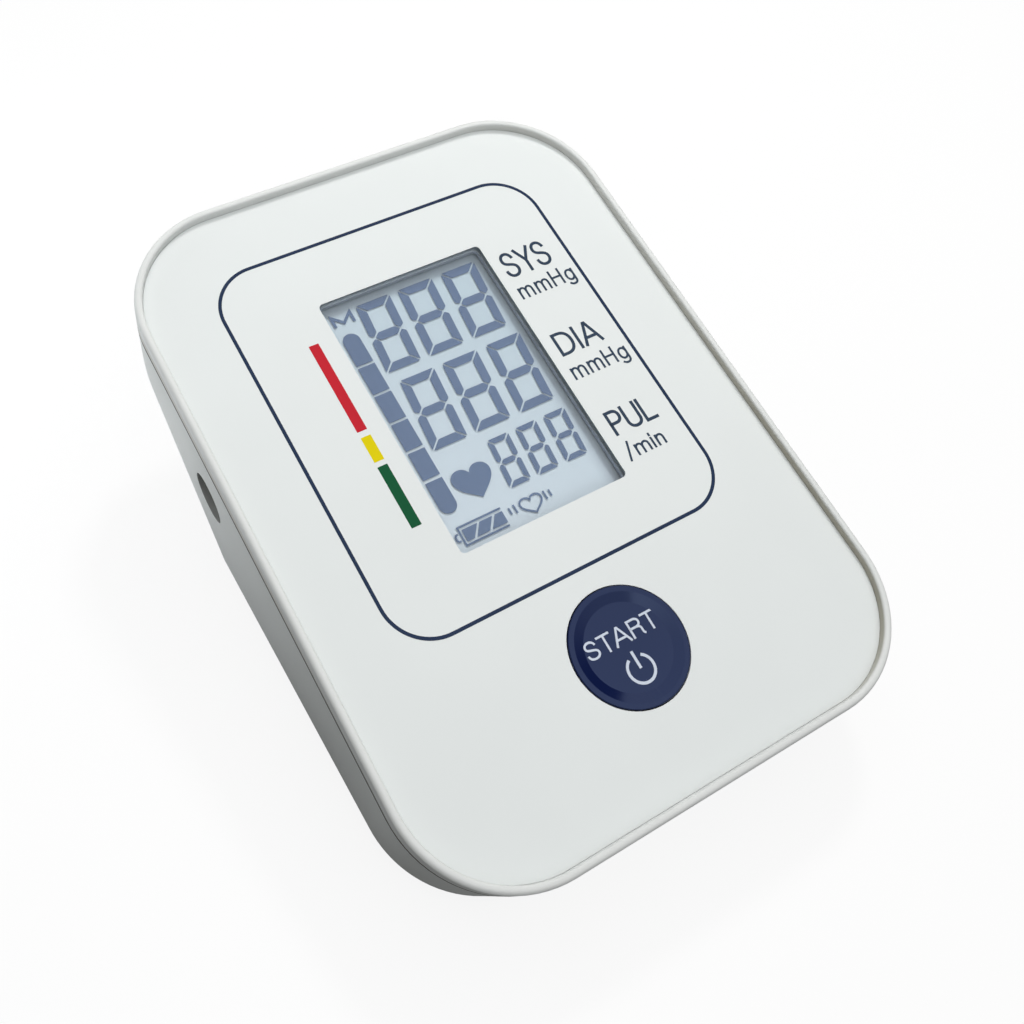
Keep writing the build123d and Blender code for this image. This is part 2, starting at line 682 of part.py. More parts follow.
groove_w = bay_w + 2 * (TONGUE_W + GROOVE_GAP)
slot_l = CASE_L
with BuildPart() as bottom_case:
    add(hull(0))
    fillet(bottom_case.faces().sort_by(UP)[-1].edges(), SEAM_ROUND)
    base_face = bottom_case.faces().sort_by(Axis.Z)[0]
    rear_face = bottom_case.faces().filter_by(lambda f: f.normal_at(f.center()).dot(REAR.z_dir) < -0.9999)[0]
    fillet(ShapeList(set(base_face.edges() + rear_face.edges())), EDGE_R)
    add(hull(WALL), mode=Mode.SUBTRACT)
    add(inner_ribs.part)
    # battery bay, the opening for its cover and the grooves for the cover's tongues
    with Locations((bay_x, bay_y, bay_roof / 2)):
        Box(bay_w, bay_l, bay_roof, mode=Mode.SUBTRACT)
    with Locations((bay_x, bay_front + slot_l / 2, (cover_top + GROOVE_GAP) / 2)):
        Box(bay_w, slot_l, cover_top + GROOVE_GAP, mode=Mode.SUBTRACT)
    with Locations((bay_x, bay_front + slot_l / 2, cover_top - COVER_TONGUE / 2)):
        Box(groove_w, slot_l, COVER_TONGUE + 2 * GROOVE_GAP, mode=Mode.SUBTRACT)
    for left, right in zip(cells_x, cells_x[1:]):
        with Locations(((left + right) / 2, bay_y, bay_roof - DIVIDER_H / 2)):
            Box(DIVIDER_T, bay_l, DIVIDER_H)
    # screw holes with deep head recesses
    with BuildSketch(face(BOSS_DEPTH)):
        with Locations(*case_screws_at):
            Circle(SCREW_R + SCREW_GAP)
    extrude(amount=-FACE_DEPTH, mode=Mode.SUBTRACT)
    with BuildSketch(face(HEAD_DEPTH)):
        with Locations(*case_screws_at):
            Circle(SCREW_HEAD_R + HEAD_GAP)
    extrude(amount=-FACE_DEPTH, mode=Mode.SUBTRACT)
    # holes in the side walls
    with BuildSketch(towards(-CASE_W / 2, socket_at.Y, socket_at.Z, (1, 0, 0))):
        Circle(PORT_R)
    extrude(amount=2 * WALL, mode=Mode.SUBTRACT)
    with BuildSketch(towards(CASE_W / 2, jack_at.Y, jack_at.Z, (-1, 0, 0))):
        Circle(JACK_NOSE_R + JACK_GAP)
    extrude(amount=2 * WALL, mode=Mode.SUBTRACT)
    # recesses for the feet
    with BuildSketch(BASE):
        with Locations(*feet_at.values()):
            SlotOverall(FOOT_L + 2 * FOOT_GAP, FOOT_W + 2 * FOOT_GAP, rotation=90)
    extrude(amount=FOOT_SEAT, mode=Mode.SUBTRACT)
save(bottom_case, "bottom_case")

for foot_name, (place_x, place_y) in feet_at.items():
    with BuildPart() as foot:
        with BuildSketch(Plane.XY):
            with Locations((place_x, place_y)):
                SlotOverall(FOOT_L, FOOT_W, rotation=90)
        extrude(amount=FOOT_H + FOOT_SEAT)
        chamfer(foot.faces().sort_by(Axis.Z)[0].edges(), FOOT_EDGE)
    save(foot, foot_name)

# ================================================================ battery cover, cells and contacts
with BuildPart() as battery_cover:
    cover_l = slot_l - COVER_GAP
    with Locations((bay_x, bay_front + COVER_GAP + cover_l / 2, FOOT_H + COVER_SKIN / 2)):
        Box(bay_w - 2 * COVER_GAP, cover_l, COVER_SKIN)
    with Locations((bay_x, bay_front + COVER_GAP + cover_l / 2, cover_top - COVER_TONGUE / 2)):
        Box(bay_w + 2 * TONGUE_W, cover_l, COVER_TONGUE)
    split(bisect_by=REAR, keep=Keep.TOP)
    kink_edge = battery_cover.faces().sort_by(Axis.Z)[0].edges().sort_by(Axis.Y)[-1]
    fillet(kink_edge, EDGE_R / 2)
    # thumb grip
    with BuildSketch(BASE):
        with Locations((bay_x, bay_front + GRIP_L)):
            with GridLocations(0, GRIP_PITCH, 1, GRIPS):
                SlotOverall(GRIP_L, GRIP_W)
    extrude(amount=GRIP_CUT, mode=Mode.SUBTRACT)
save(battery_cover, "battery_cover")

cell_front = bay_front + CONTACT_ROOM
for i, cell_x in enumerate(cells_x):
    nub_at_rear = i % 2 == 0
    start = cell_front if nub_at_rear else cell_front + CELL_L + NUB_L
    way = 1 if nub_at_rear else -1
    with BuildPart() as battery:
        with BuildSketch(towards(cell_x, start, cell_z, (0, way, 0))):
            Circle(CELL_R)
        extrude(amount=CELL_L)
        chamfer(battery.edges().filter_by(GeomType.CIRCLE), CELL_EDGE)
        with BuildSketch(towards(cell_x, start + way * CELL_L, cell_z, (0, way, 0))):
            Circle(NUB_R)
        extrude(amount=NUB_L)
    save(battery, f"battery_{i + 1}")


def contact_plate(x, y, way):
    """Flat plate against the end wall of the bay, in the open part."""
    with Locations((x, y + way * CONTACT_T / 2, cell_z)):
        Box(CONTACT_W, CONTACT_T, CONTACT_H)


with BuildPart() as plate_contacts:
    for i, cell_x in enumerate(cells_x):
        wall_y = bay_rear if i % 2 == 0 else bay_front
        way = -1 if i % 2 == 0 else 1
        contact_plate(cell_x, wall_y, way)
        with BuildSketch(towards(cell_x, wall_y, cell_z, (0, way, 0))):
            Circle(NUB_R)
        extrude(amount=CONTACT_ROOM - CONTACT_GAP, taper=12)
save(plate_contacts, "plate_contacts")

with BuildPart() as spring_contacts:
    for i, cell_x in enumerate(cells_x):
        wall_y = bay_front if i % 2 == 0 else bay_rear
        way = 1 if i % 2 == 0 else -1
        contact_plate(cell_x, wall_y, way)
        bow = CONTACT_ROOM - CONTACT_GAP
        rise = CONTACT_H / 2
        with BuildSketch(Plane(origin=(cell_x - LEAF_W / 2, wall_y, cell_z), x_dir=(0, way, 0), z_dir=(way, 0, 0))):
            with BuildLine():
                ThreePointArc((CONTACT_T / 2, -rise), (bow, 0), (CONTACT_T / 2, rise))
                Line((CONTACT_T / 2, rise), (0, rise))
                ThreePointArc((0, rise), (bow - CONTACT_T, 0), (0, -rise))
                Line((0, -rise), (CONTACT_T / 2, -rise))
            make_face()
        extrude(amount=way * LEAF_W)
save(spring_contacts, "spring_contacts")

# ================================================================ air path
with BuildPart() as air_socket:
    with BuildSketch(towards(-socket_face, socket_at.Y, socket_at.Z, (1, 0, 0))):
        Circle(SOCKET_R)
    extrude(amount=SOCKET_L)
    with BuildSketch(towards(-socket_end, socket_at.Y, socket_at.Z, (1, 0, 0))):
        Circle(BARB_R)
    extrude(amount=BARB_L)
    with BuildSketch(towards(-socket_face, socket_at.Y, socket_at.Z, (1, 0, 0))):
        Circle(SOCKET_BORE_R)
    extrude(amount=SOCKET_BORE_L, mode=Mode.SUBTRACT)
    with BuildSketch(towards(-socket_face + SEAL_FROM_MOUTH, socket_at.Y, socket_at.Z, (1, 0, 0))):
        Circle(SOCKET_BORE_R + 2 * SEAL_CLEAR + 2 * SEAL_MINOR)
    extrude(amount=SEAL_MINOR + SEAL_CLEAR, both=True, mode=Mode.SUBTRACT)
    with BuildSketch(towards(-socket_face, socket_at.Y, socket_at.Z, (1, 0, 0))):
        Circle(BARB_BORE_R)
    extrude(amount=SOCKET_L + BARB_L, mode=Mode.SUBTRACT)
save(air_socket, "air_socket")

with BuildPart() as socket_seal:
    with BuildSketch(Plane(origin=(-socket_face + SEAL_FROM_MOUTH, socket_at.Y, socket_at.Z), z_dir=(0, 0, 1))):
        with Locations((0, SOCKET_BORE_R + SEAL_CLEAR + SEAL_MINOR)):
            Circle(SEAL_MINOR)
    revolve(axis=Axis((0, socket_at.Y, socket_at.Z), (1, 0, 0)))
save(socket_seal, "socket_seal")

sensor_depth = board_under + SENSOR_PORT_DEPTH
sensor_along = (socket_at.Y - face_y - sensor_depth * sin(tilt)) / cos(tilt)
sensor_z = on_face(0, sensor_along, sensor_depth).Z
sensor_left = manifold_x + MANIFOLD_R + SENSOR_TUBE_L + 2 * TUBE_END
manifold_top = sensor_z + TUBE_R
with BuildPart() as pressure_sensor:
    with BuildSketch(face(board_under)):
        with Locations((sensor_left + SENSOR_W / 2, sensor_along)):
            Rectangle(SENSOR_W, SENSOR_L)
    extrude(amount=-SENSOR_H)
    with BuildSketch(towards(sensor_left, socket_at.Y, sensor_z, (-1, 0, 0))):
        Circle(BARB_R)
    extrude(amount=BARB_L)
save(pressure_sensor, "pressure_sensor")

with BuildPart() as air_manifold:
    with BuildSketch(Plane(origin=(manifold_x, socket_at.Y, MANIFOLD_BOTTOM))):
        Circle(MANIFOLD_R)
    extrude(amount=manifold_top - MANIFOLD_BOTTOM)
    for height, way in (
        (socket_at.Z, (-1, 0, 0)),
        (sensor_z, (1, 0, 0)),
        (pump_z, (0, -1, 0)),
        (valve_z, (0, 1, 0)),
    ):
        with BuildSketch(towards(manifold_x, socket_at.Y, height, way)):
            Circle(BARB_R)
        extrude(amount=MANIFOLD_R + BARB_L)
    fillet(air_manifold.faces().sort_by(Axis.Z)[-1].edges(), MANIFOLD_R / 4)
save(air_manifold, "air_manifold")


def soft_tube(name, start, way, length):
    """Short straight tube pushed over two barbs."""
    with BuildPart() as tube:
        with BuildSketch(Plane(origin=start, z_dir=way)):
            Circle(TUBE_R)
            Circle(BARB_R + TUBE_FIT, mode=Mode.SUBTRACT)
        extrude(amount=length)
    save(tube, name)


soft_tube("socket_tube", (-socket_end + TUBE_END, socket_at.Y, socket_at.Z), (1, 0, 0), SOCKET_TUBE_L)
soft_tube("sensor_tube", (manifold_x + MANIFOLD_R + TUBE_END, socket_at.Y, sensor_z), (1, 0, 0), SENSOR_TUBE_L)
soft_tube("pump_tube", (manifold_x, pump_rear + TUBE_END, pump_z), (0, 1, 0), PUMP_TUBE_L)

with BuildPart() as bleed_valve:
    with BuildSketch(Plane(origin=(manifold_x, socket_at.Y, MANIFOLD_BOTTOM), z_dir=(0, 0, -1))):
        Circle(BLEED_R)
    extrude(amount=BLEED_L)
    chamfer(bleed_valve.faces().sort_by(Axis.Z)[0].edges(), BLEED_R / 3)
    with Locations((manifold_x, socket_at.Y, MANIFOLD_BOTTOM - BLEED_L)):
        Box(BLEED_R / 3, 2 * BLEED_R, BLEED_R, mode=Mode.SUBTRACT)
save(bleed_valve, "bleed_valve")

with BuildPart() as exhaust_valve:
    with BuildSketch(towards(manifold_x, valve_y, valve_z, (0, 1, 0))):
        Circle(VALVE_R)
    extrude(amount=VALVE_L)
    for plate_y in (valve_y, valve_y + VALVE_L - VALVE_PLATE):
        with BuildSketch(towards(manifold_x, plate_y, valve_z, (0, 1, 0))):
            RectangleRounded(VALVE_PLATE_SIZE, VALVE_PLATE_SIZE, VALVE_PLATE)
        extrude(amount=VALVE_PLATE)
    with BuildSketch(towards(manifold_x, valve_y, valve_z, (0, 1, 0))):
        Circle(BARB_R + TUBE_FIT)
    extrude(amount=BARB_L, mode=Mode.SUBTRACT)
save(exhaust_valve, "exhaust_valve")

# ================================================================ pump
with BuildPart() as pump_motor:
    with BuildSketch(towards(pump_x, pump_front, pump_z, (0, 1, 0))):
        Circle(PUMP_R)
        Rectangle(2 * PUMP_R, 2 * MOTOR_FLAT, mode=Mode.INTERSECT)
    extrude(amount=MOTOR_L)
    fillet(pump_motor.faces().sort_by(Axis.Y)[0].edges(), PUMP_R / 12)
    with BuildSketch(towards(pump_x, pump_front, pump_z, (0, -1, 0))):
        Circle(MOTOR_BOSS_R)
    extrude(amount=MOTOR_BOSS_L)
save(pump_motor, "pump_motor")

with BuildPart() as pump_sleeve:
    with BuildSketch(towards(pump_x, pump_front + SLEEVE_INSET, pump_z, (0, 1, 0))):
        Circle(sleeve_r)
        Circle(PUMP_R + TUBE_FIT, mode=Mode.SUBTRACT)
    extrude(amount=MOTOR_L - 2 * SLEEVE_INSET)
save(pump_sleeve, "pump_sleeve")

with BuildPart() as pump_head:
    with BuildSketch(towards(pump_x, head_y, pump_z, (0, 1, 0))):
        RectangleRounded(PUMP_HEAD_SIZE, PUMP_HEAD_SIZE, PUMP_HEAD_R)
    extrude(amount=PUMP_HEAD_L)
    for step in (1, 2):
        groove_y = head_y + step * PUMP_HEAD_L / 3
        with BuildSketch(towards(pump_x, groove_y, pump_z, (0, 1, 0))):
            RectangleRounded(PUMP_HEAD_SIZE, PUMP_HEAD_SIZE, PUMP_HEAD_R)
            RectangleRounded(
                PUMP_HEAD_SIZE - 2 * PUMP_GROOVE, PUMP_HEAD_SIZE - 2 * PUMP_GROOVE, PUMP_HEAD_R, mode=Mode.SUBTRACT
            )
        extrude(amount=PUMP_GROOVE, mode=Mode.SUBTRACT)
    with BuildSketch(towards(manifold_x, pump_rear, pump_z, (0, 1, 0))):
        Circle(BARB_R)
    extrude(amount=BARB_L)
save(pump_head, "pump_head")

# ================================================================ adapter jack
with BuildPart() as dc_jack:
    with Locations((jack_face - JACK_L / 2, jack_at.Y, jack_at.Z)):
        Box(JACK_L, JACK_W, JACK_H)
    with BuildSketch(towards(jack_face, jack_at.Y, jack_at.Z, (1, 0, 0))):
        Circle(JACK_NOSE_R)
    extrude(amount=WALL)
    with BuildSketch(towards(jack_face + WALL, jack_at.Y, jack_at.Z, (-1, 0, 0))):
        Circle(JACK_R)
        Circle(JACK_PIN_R, mode=Mode.SUBTRACT)
    extrude(amount=JACK_BORE_L, mode=Mode.SUBTRACT)
save(dc_jack, "dc_jack")

# ================================================================ case screws
with BuildPart() as case_screws:
    with BuildSketch(face(HEAD_DEPTH)):
        with Locations(*case_screws_at):
            Circle(SCREW_HEAD_R)
    extrude(amount=-SCREW_HEAD_T)
    with BuildSketch(face(HEAD_DEPTH)):
        with Locations(*case_screws_at):
            Circle(SCREW_R)
    extrude(amount=HEAD_DEPTH - SCREW_TIP_DEPTH - HEAD_GAP)
    with BuildSketch(face(HEAD_DEPTH + SCREW_HEAD_T)):
        with Locations(*case_screws_at):
            Rectangle(SCREW_HEAD_R, SCREW_CROSS)
            Rectangle(SCREW_CROSS, SCREW_HEAD_R)
    extrude(amount=SCREW_CROSS_D, mode=Mode.SUBTRACT)
save(case_screws, "case_screws")
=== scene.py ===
"""Visual model of the desk unit of an upper-arm blood pressure monitor.

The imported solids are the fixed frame. This script prints the face, builds the display's cells, the marks on the
button and on the battery cover and the small parts of the circuit board, and gives every solid its finish. Lengths
are written in millimetres and turned into metres where a mesh is made.
"""

import logging
import math
from contextlib import contextmanager
from dataclasses import dataclass
from enum import Enum
from functools import cache
from typing import Iterable, Iterator, Sequence

import bmesh
import bpy
from mathutils import Matrix, Vector
from mathutils.geometry import interpolate_bezier

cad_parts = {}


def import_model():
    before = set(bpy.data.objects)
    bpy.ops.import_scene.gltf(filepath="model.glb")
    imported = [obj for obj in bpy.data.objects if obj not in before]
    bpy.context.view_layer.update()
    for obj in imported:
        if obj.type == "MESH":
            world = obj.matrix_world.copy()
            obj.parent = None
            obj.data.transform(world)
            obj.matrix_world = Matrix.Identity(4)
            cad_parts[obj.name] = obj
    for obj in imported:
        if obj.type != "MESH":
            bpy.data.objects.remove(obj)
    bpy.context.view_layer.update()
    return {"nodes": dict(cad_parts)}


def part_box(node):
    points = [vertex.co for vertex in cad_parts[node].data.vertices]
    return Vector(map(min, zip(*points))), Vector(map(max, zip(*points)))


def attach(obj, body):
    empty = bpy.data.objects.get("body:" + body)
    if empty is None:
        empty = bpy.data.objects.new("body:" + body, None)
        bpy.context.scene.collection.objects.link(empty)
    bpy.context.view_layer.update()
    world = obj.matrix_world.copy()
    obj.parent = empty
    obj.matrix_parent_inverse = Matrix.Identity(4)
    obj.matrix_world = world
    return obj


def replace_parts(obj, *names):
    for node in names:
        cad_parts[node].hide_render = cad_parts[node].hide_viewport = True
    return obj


LOG = logging.getLogger("monitor")
MM = 0.001
WELD = 0.001
STROKE_LIFT = 0.002
Triple = tuple[float, float, float]
Colour = Triple
Pair = tuple[float, float]
Box2 = tuple[float, float, float, float]
Stroke = tuple[tuple[float, ...], ...]
Piece = bpy.types.Object
Tree = bpy.types.NodeTree
Node = bpy.types.Node
Socket = bpy.types.NodeSocket


def linear(red: int, green: int, blue: int) -> Colour:
    """Linear colour of a display colour.

    Args:
        red: its red part, from 0 to 255.
        green: its green part.
        blue: its blue part.

    Returns:
        The colour's linear parts, from 0 to 1.
    """

    def one(value: int) -> float:
        """Linear share of one part."""
        share = value / 255
        return share / 12.92 if share <= 0.04045 else ((share + 0.055) / 1.055) ** 2.4

    return one(red), one(green), one(blue)


# ---- the tilted face
@dataclass(frozen=True)
class Face:
    """The flat face of the unit: a plane tilted towards the user."""

    tilt: float = 12.0
    middle_y: float = -0.4054
    middle_z: float = 38.1696

    def matrix(self) -> Matrix:
        """Turns face coordinates (across, along, up) into the row frame, both in metres."""
        turn = Matrix.Rotation(math.radians(self.tilt), 4, "X")
        return Matrix.Translation((0, self.middle_y * MM, self.middle_z * MM)) @ turn

    def axes(self) -> tuple[tuple[Vector, float], ...]:
        """Directions across, along and up, each with the place of the face's middle on it in millimetres."""
        middle = Vector((0.0, self.middle_y, self.middle_z))
        return tuple((axis, axis.dot(middle)) for axis in Matrix.Rotation(math.radians(self.tilt), 3, "X").col)


FACE = Face()


class Body(str, Enum):
    """Rigid bodies that pieces ride on."""

    HOUSING = "housing"
    BUTTON = "button"
    COVER = "cover"


class Pick(str, Enum):
    """What is selected in edit mode."""

    POINTS = "VERT"
    EDGES = "EDGE"
    FACES = "FACE"


# ---- shader helpers
class Graph:
    """Adds and wires the nodes of one node tree."""

    def __init__(self, tree: Tree) -> None:
        """Keeps the tree that gets the nodes."""
        self.tree = tree

    def wire(self, start: Socket, end: Socket) -> None:
        """Links an output to an input."""
        self.tree.links.new(start, end)

    def put(self, value: object, socket: Socket) -> None:
        """Wires a socket to an input, or sets the input to a plain value.

        Args:
            value: the socket or the plain value.
            socket: the input.
        """
        if isinstance(value, Socket):
            self.wire(value, socket)
        else:
            socket.default_value = value

    def add(self, kind: str, **settings: object) -> Node:
        """Adds a node.

        Args:
            kind: the node's type, without its common first part.
            settings: the node's inputs by name, each a value or a socket to wire, and its other properties.

        Returns:
            The new node.
        """
        node = self.tree.nodes.new("ShaderNode" + kind)
        for name, value in settings.items():
            socket = node.inputs.get(name.replace("_", " "))
            if socket is None:
                setattr(node, name, value)
            else:
                self.put(value, socket)
        return node

    def group(self, tree: Tree, **values: float) -> dict[str, Socket]:
        """Outputs by name of a node group that is placed with its own values."""
        return dict(self.add("Group", node_tree=tree, **values).outputs.items())

    def place(self) -> Socket:
        """Place on the piece, in object coordinates."""
        return self.add("TexCoord").outputs["Object"]

    def noise(self, place: Socket, **settings: object) -> Socket:
        """Noise at a place, from 0 to 1."""
        return self.add("TexNoise", Vector=place, **settings).outputs["Fac"]

    def stretched(self, **settings: object) -> Socket:
        """Place on the piece, turned or scaled by a Mapping node's inputs."""
        return self.add("Mapping", Vector=self.place(), **settings).outputs["Vector"]

    def apart(self, place: Socket) -> tuple[Socket, ...]:
        """The three parts of a place."""
        return tuple(self.add("SeparateXYZ", Vector=place).outputs)

    def along(self, way: Triple | Vector) -> Socket:
        """Measures how far a place lies along a direction.

        Args:
            way: the direction.

        Returns:
            The distance from the origin along it.
        """
        node = self.add("VectorMath", operation="DOT_PRODUCT", Vector=self.place())
        node.inputs[1].default_value = way
        return node.outputs["Value"]

    def math(self, operation: str, *values: Socket | float) -> Socket:
        """Works out one number from others.

        Args:
            operation: the kind of sum.
            values: its inputs in order, each a number or a socket.

        Returns:
            The result.
        """
        node = self.add("Math", operation=operation)
        for value, socket in zip(values, node.inputs):
            self.put(value, socket)
        return node.outputs[0]

    def times(self, first: Socket, *others: Socket | float) -> Socket:
        """Multiplies several values.

        Args:
            first: the first one.
            others: the rest, each a number or a socket.

        Returns:
            Their product.
        """
        for other in others:
            first = self.math("MULTIPLY", first, other)
        return first

    def ramp(self, source: Socket, low: float, high: float) -> Socket:
        """Smooth 0 to 1 share of a value between two limits."""
        node = self.add("MapRange", interpolation_type="SMOOTHSTEP", Value=source, From_Min=low, From_Max=high)
        return node.outputs["Result"]

    def mix(self, share: Socket | float, first: Socket | Colour, second: Socket | Colour) -> Socket:
        """Mixes two colours.

        Args:
            share: how much of the second colour.
            first: colour or socket.
            second: colour or socket.

        Returns:
            The mixed colour.
        """
        node = self.add("Mix", data_type="RGBA")
        self.put(share, node.inputs[0])
        for value, socket in ((first, node.inputs[6]), (second, node.inputs[7])):
            self.put((*value, 1.0) if isinstance(value, tuple) else value, socket)
        return node.outputs[2]

    def blend(self, share: Socket, first: Node, second: Node) -> Socket:
        """Mixes two shaders.

        Args:
            share: how much of the second shader.
            first: its node.
            second: its node.

        Returns:
            The mixed shader.
        """
        node = self.add("MixShader")
        for value, socket in zip((share, first.outputs[0], second.outputs[0]), node.inputs):
            self.wire(value, socket)
        return node.outputs[0]


class SharedEffects:
    """Node groups that several finishes use."""

    @staticmethod
    def _new(name: str, inputs: dict[str, float], outputs: tuple[str, ...]) -> tuple[Graph, dict[str, Socket], Node]:
        """Starts a group with named number sockets.

        Args:
            name: the group's name.
            inputs: names and default values of its inputs.
            outputs: names of its outputs.

        Returns:
            The graph of the new group, the sockets of its inputs and its output node.
        """
        tree = bpy.data.node_groups.new(name, "ShaderNodeTree")
        for label, value in inputs.items():
            socket = tree.interface.new_socket(label, in_out="INPUT", socket_type="NodeSocketFloat")
            socket.default_value = value
        for label in outputs:
            tree.interface.new_socket(label, in_out="OUTPUT", socket_type="NodeSocketFloat")
        start = tree.nodes.new("NodeGroupInput")
        return Graph(tree), {label: start.outputs[label] for label in inputs}, tree.nodes.new("NodeGroupOutput")

    @classmethod
    @cache
    def moulded_grain(cls) -> Tree:
        """Makes the fine texture of a moulded surface.

        Returns:
            A group with Height for a bump and Mottle for slow changes of tone.
        """
        sizes = {"Grain Scale": 2500.0, "Mottle Scale": 40.0}
        graph, given, end = cls._new("moulded_grain", sizes, ("Height", "Mottle"))
        place = graph.place()
        fine = graph.noise(place, Detail=3.0, Roughness=0.6, Scale=given["Grain Scale"])
        cells = graph.add("TexVoronoi", feature="SMOOTH_F1", Vector=place, Scale=given["Grain Scale"])
        slow = graph.noise(place, Detail=2.0, Roughness=0.5, Scale=given["Mottle Scale"])
        graph.wire(graph.math("MULTIPLY_ADD", cells.outputs["Distance"], 0.6, fine), end.inputs["Height"])
        graph.wire(graph.ramp(slow, 0.3, 0.7), end.inputs["Mottle"])
        return graph.tree

    @classmethod
    @cache
    def handling(cls) -> Tree:
        """Makes the gloss that changes with handling.

        Returns:
            A group with Roughness around a base value, and a faint Scuff mask.
        """
        graph, given, end = cls._new("handling", {"Base": 0.4, "Spread": 0.06, "Scale": 60.0}, ("Roughness", "Scuff"))
        smudge = graph.noise(graph.place(), Detail=4.0, Roughness=0.55, Scale=given["Scale"])
        wiped = graph.stretched(Scale=(1.0, 0.06, 0.4), Rotation=(0.2, 0.5, 0.7))
        lines = graph.noise(wiped, Detail=5.0, Roughness=0.7, Scale=900.0)
        centred = graph.math("SUBTRACT", smudge, 0.5)
        graph.wire(graph.math("MULTIPLY_ADD", centred, given["Spread"], given["Base"]), end.inputs["Roughness"])
        graph.wire(graph.ramp(lines, 0.62, 0.8), end.inputs["Scuff"])
        return graph.tree

    @classmethod
    @cache
    def face_outline(cls) -> Tree:
        """Measures the place on the face in millimetres.

        Returns:
            A group with Distance outwards from a rounded rectangle, and Up, Across and Along from the face's middle.
        """
        graph, given, end = cls._new(
            "face_outline",
            {"Half Width": 50.0, "Half Length": 70.0, "Radius": 20.0, "Middle": 0.0},
            ("Distance", "Up", "Across", "Along"),
        )
        spots = [graph.math("SUBTRACT", graph.along(axis / MM), middle) for axis, middle in FACE.axes()]
        across = graph.math("ABSOLUTE", spots[0])
        along = graph.math("ABSOLUTE", graph.math("SUBTRACT", spots[1], given["Middle"]))
        radius = given["Radius"]
        past_side = graph.math("ADD", graph.math("SUBTRACT", across, given["Half Width"]), radius)
        past_end = graph.math("ADD", graph.math("SUBTRACT", along, given["Half Length"]), radius)
        side, ending = graph.math("MAXIMUM", past_side, 0.0), graph.math("MAXIMUM", past_end, 0.0)
        squares = graph.math("MULTIPLY_ADD", side, side, graph.times(ending, ending))
        inside = graph.math("MINIMUM", graph.math("MAXIMUM", past_side, past_end), 0.0)
        reach = graph.math("ADD", graph.math("SQRT", squares), inside)
        graph.wire(graph.math("SUBTRACT", reach, radius), end.inputs["Distance"])
        for spot, name in zip(spots, ("Across", "Along", "Up")):
            graph.wire(spot, end.inputs[name])
        return graph.tree


# ---- finishes
@dataclass(frozen=True)
class Finish:
    """A surface finish. The plain one is a moulded plastic with grain, mottle and handling marks."""

    name: str
    colour: Colour
    roughness: float = 0.42
    spread: float = 0.1
    grain: float = 2500.0
    relief: float = 0.02
    shade: float = 0.94
    scuff: float = 0.25
    coat: float = 0.0
    specular: float = 0.5
    coat_gloss: float = 0.12
    mottle_scale: float = 38.0
    smudge_scale: float = 70.0
    bump_gain: float = 10.0
    scuff_lift: float = 0.12

    def surface(self, graph: Graph) -> tuple[Node, Socket, Socket]:
        """Adds the shader with its gloss and relief.

        Args:
            graph: the material's graph.

        Returns:
            The Principled shader, the slow mottle mask and the scuff mask.
        """
        shader = graph.add(
            "BsdfPrincipled", Coat_Weight=self.coat, Coat_Roughness=self.coat_gloss, Specular_IOR_Level=self.specular
        )
        grain = graph.group(SharedEffects.moulded_grain(), Grain_Scale=self.grain, Mottle_Scale=self.mottle_scale)
        marks = graph.group(
            SharedEffects.handling(), Base=self.roughness, Spread=self.spread, Scale=self.smudge_scale
        )
        strength, depth = self.relief * self.bump_gain, self.relief * MM
        bump = graph.add("Bump", Strength=strength, Distance=depth, Height=grain["Height"])
        graph.wire(bump.outputs["Normal"], shader.inputs["Normal"])
        graph.wire(marks["Roughness"], shader.inputs["Roughness"])
        graph.add("OutputMaterial", Surface=shader.outputs["BSDF"])
        return shader, grain["Mottle"], marks["Scuff"]

    def tone(self, graph: Graph, mottle: Socket, scuff: Socket) -> Socket:
        """Colour over the surface.

        Args:
            graph: the material's graph.
            mottle: slow mask.
            scuff: mask of faint marks.

        Returns:
            The colour socket.
        """
        darker = tuple(c * self.shade for c in self.colour)
        paler = tuple(c + (1 - c) * self.scuff_lift for c in self.colour)
        base = graph.mix(mottle, self.colour, darker)
        return graph.mix(graph.times(scuff, self.scuff), base, paler)

    @cache
    def build(self) -> bpy.types.Material:
        """Makes the material, once.

        Returns:
            The Blender material.
        """
        made = bpy.data.materials.new(self.name)
        made.use_nodes = True
        made.node_tree.nodes.clear()
        graph = Graph(made.node_tree)
        shader, mottle, scuff = self.surface(graph)
        graph.wire(self.over(graph, self.tone(graph, mottle, scuff)), shader.inputs["Base Color"])
        self.extras(graph, shader)
        made.diffuse_color = (*self.colour, 1.0)
        return made

    def over(self, graph: Graph, base: Socket) -> Socket:
        """Colour that goes over the plain tone, which only some finishes change."""
        return base

    def extras(self, graph: Graph, shader: Node) -> None:
        """Sockets that only some finishes set."""


@dataclass(frozen=True)
class ClearSheet(Finish):
    """Clear plastic or glass: it mirrors a little, more at a low angle, and lets the rest of the light through."""

    mirror: float = 0.02
    grazing: float = 0.6
    falloff: float = 4.0

    def extras(self, graph: Graph, shader: Node) -> None:
        """Sets how much of the sheet shows at each angle.

        Args:
            graph: the material's graph.
            shader: the Principled shader.
        """
        shader.inputs["Metallic"].default_value = 1.0
        facing = graph.add("LayerWeight", Blend=0.5).outputs["Facing"]
        low_angle = graph.math("POWER", facing, self.falloff)
        graph.wire(graph.math("MULTIPLY_ADD", low_angle, self.grazing, self.mirror), shader.inputs["Alpha"])


@dataclass(frozen=True)
class Lacquer(Finish):
    """Deep glossy colour whose mirroring keeps some of the colour."""

    tint: Colour = (0.5, 0.65, 1.0)

    def extras(self, graph: Graph, shader: Node) -> None:
        """Sets the mirroring's colour."""
        shader.inputs["Specular Tint"].default_value = (*self.tint, 1.0)


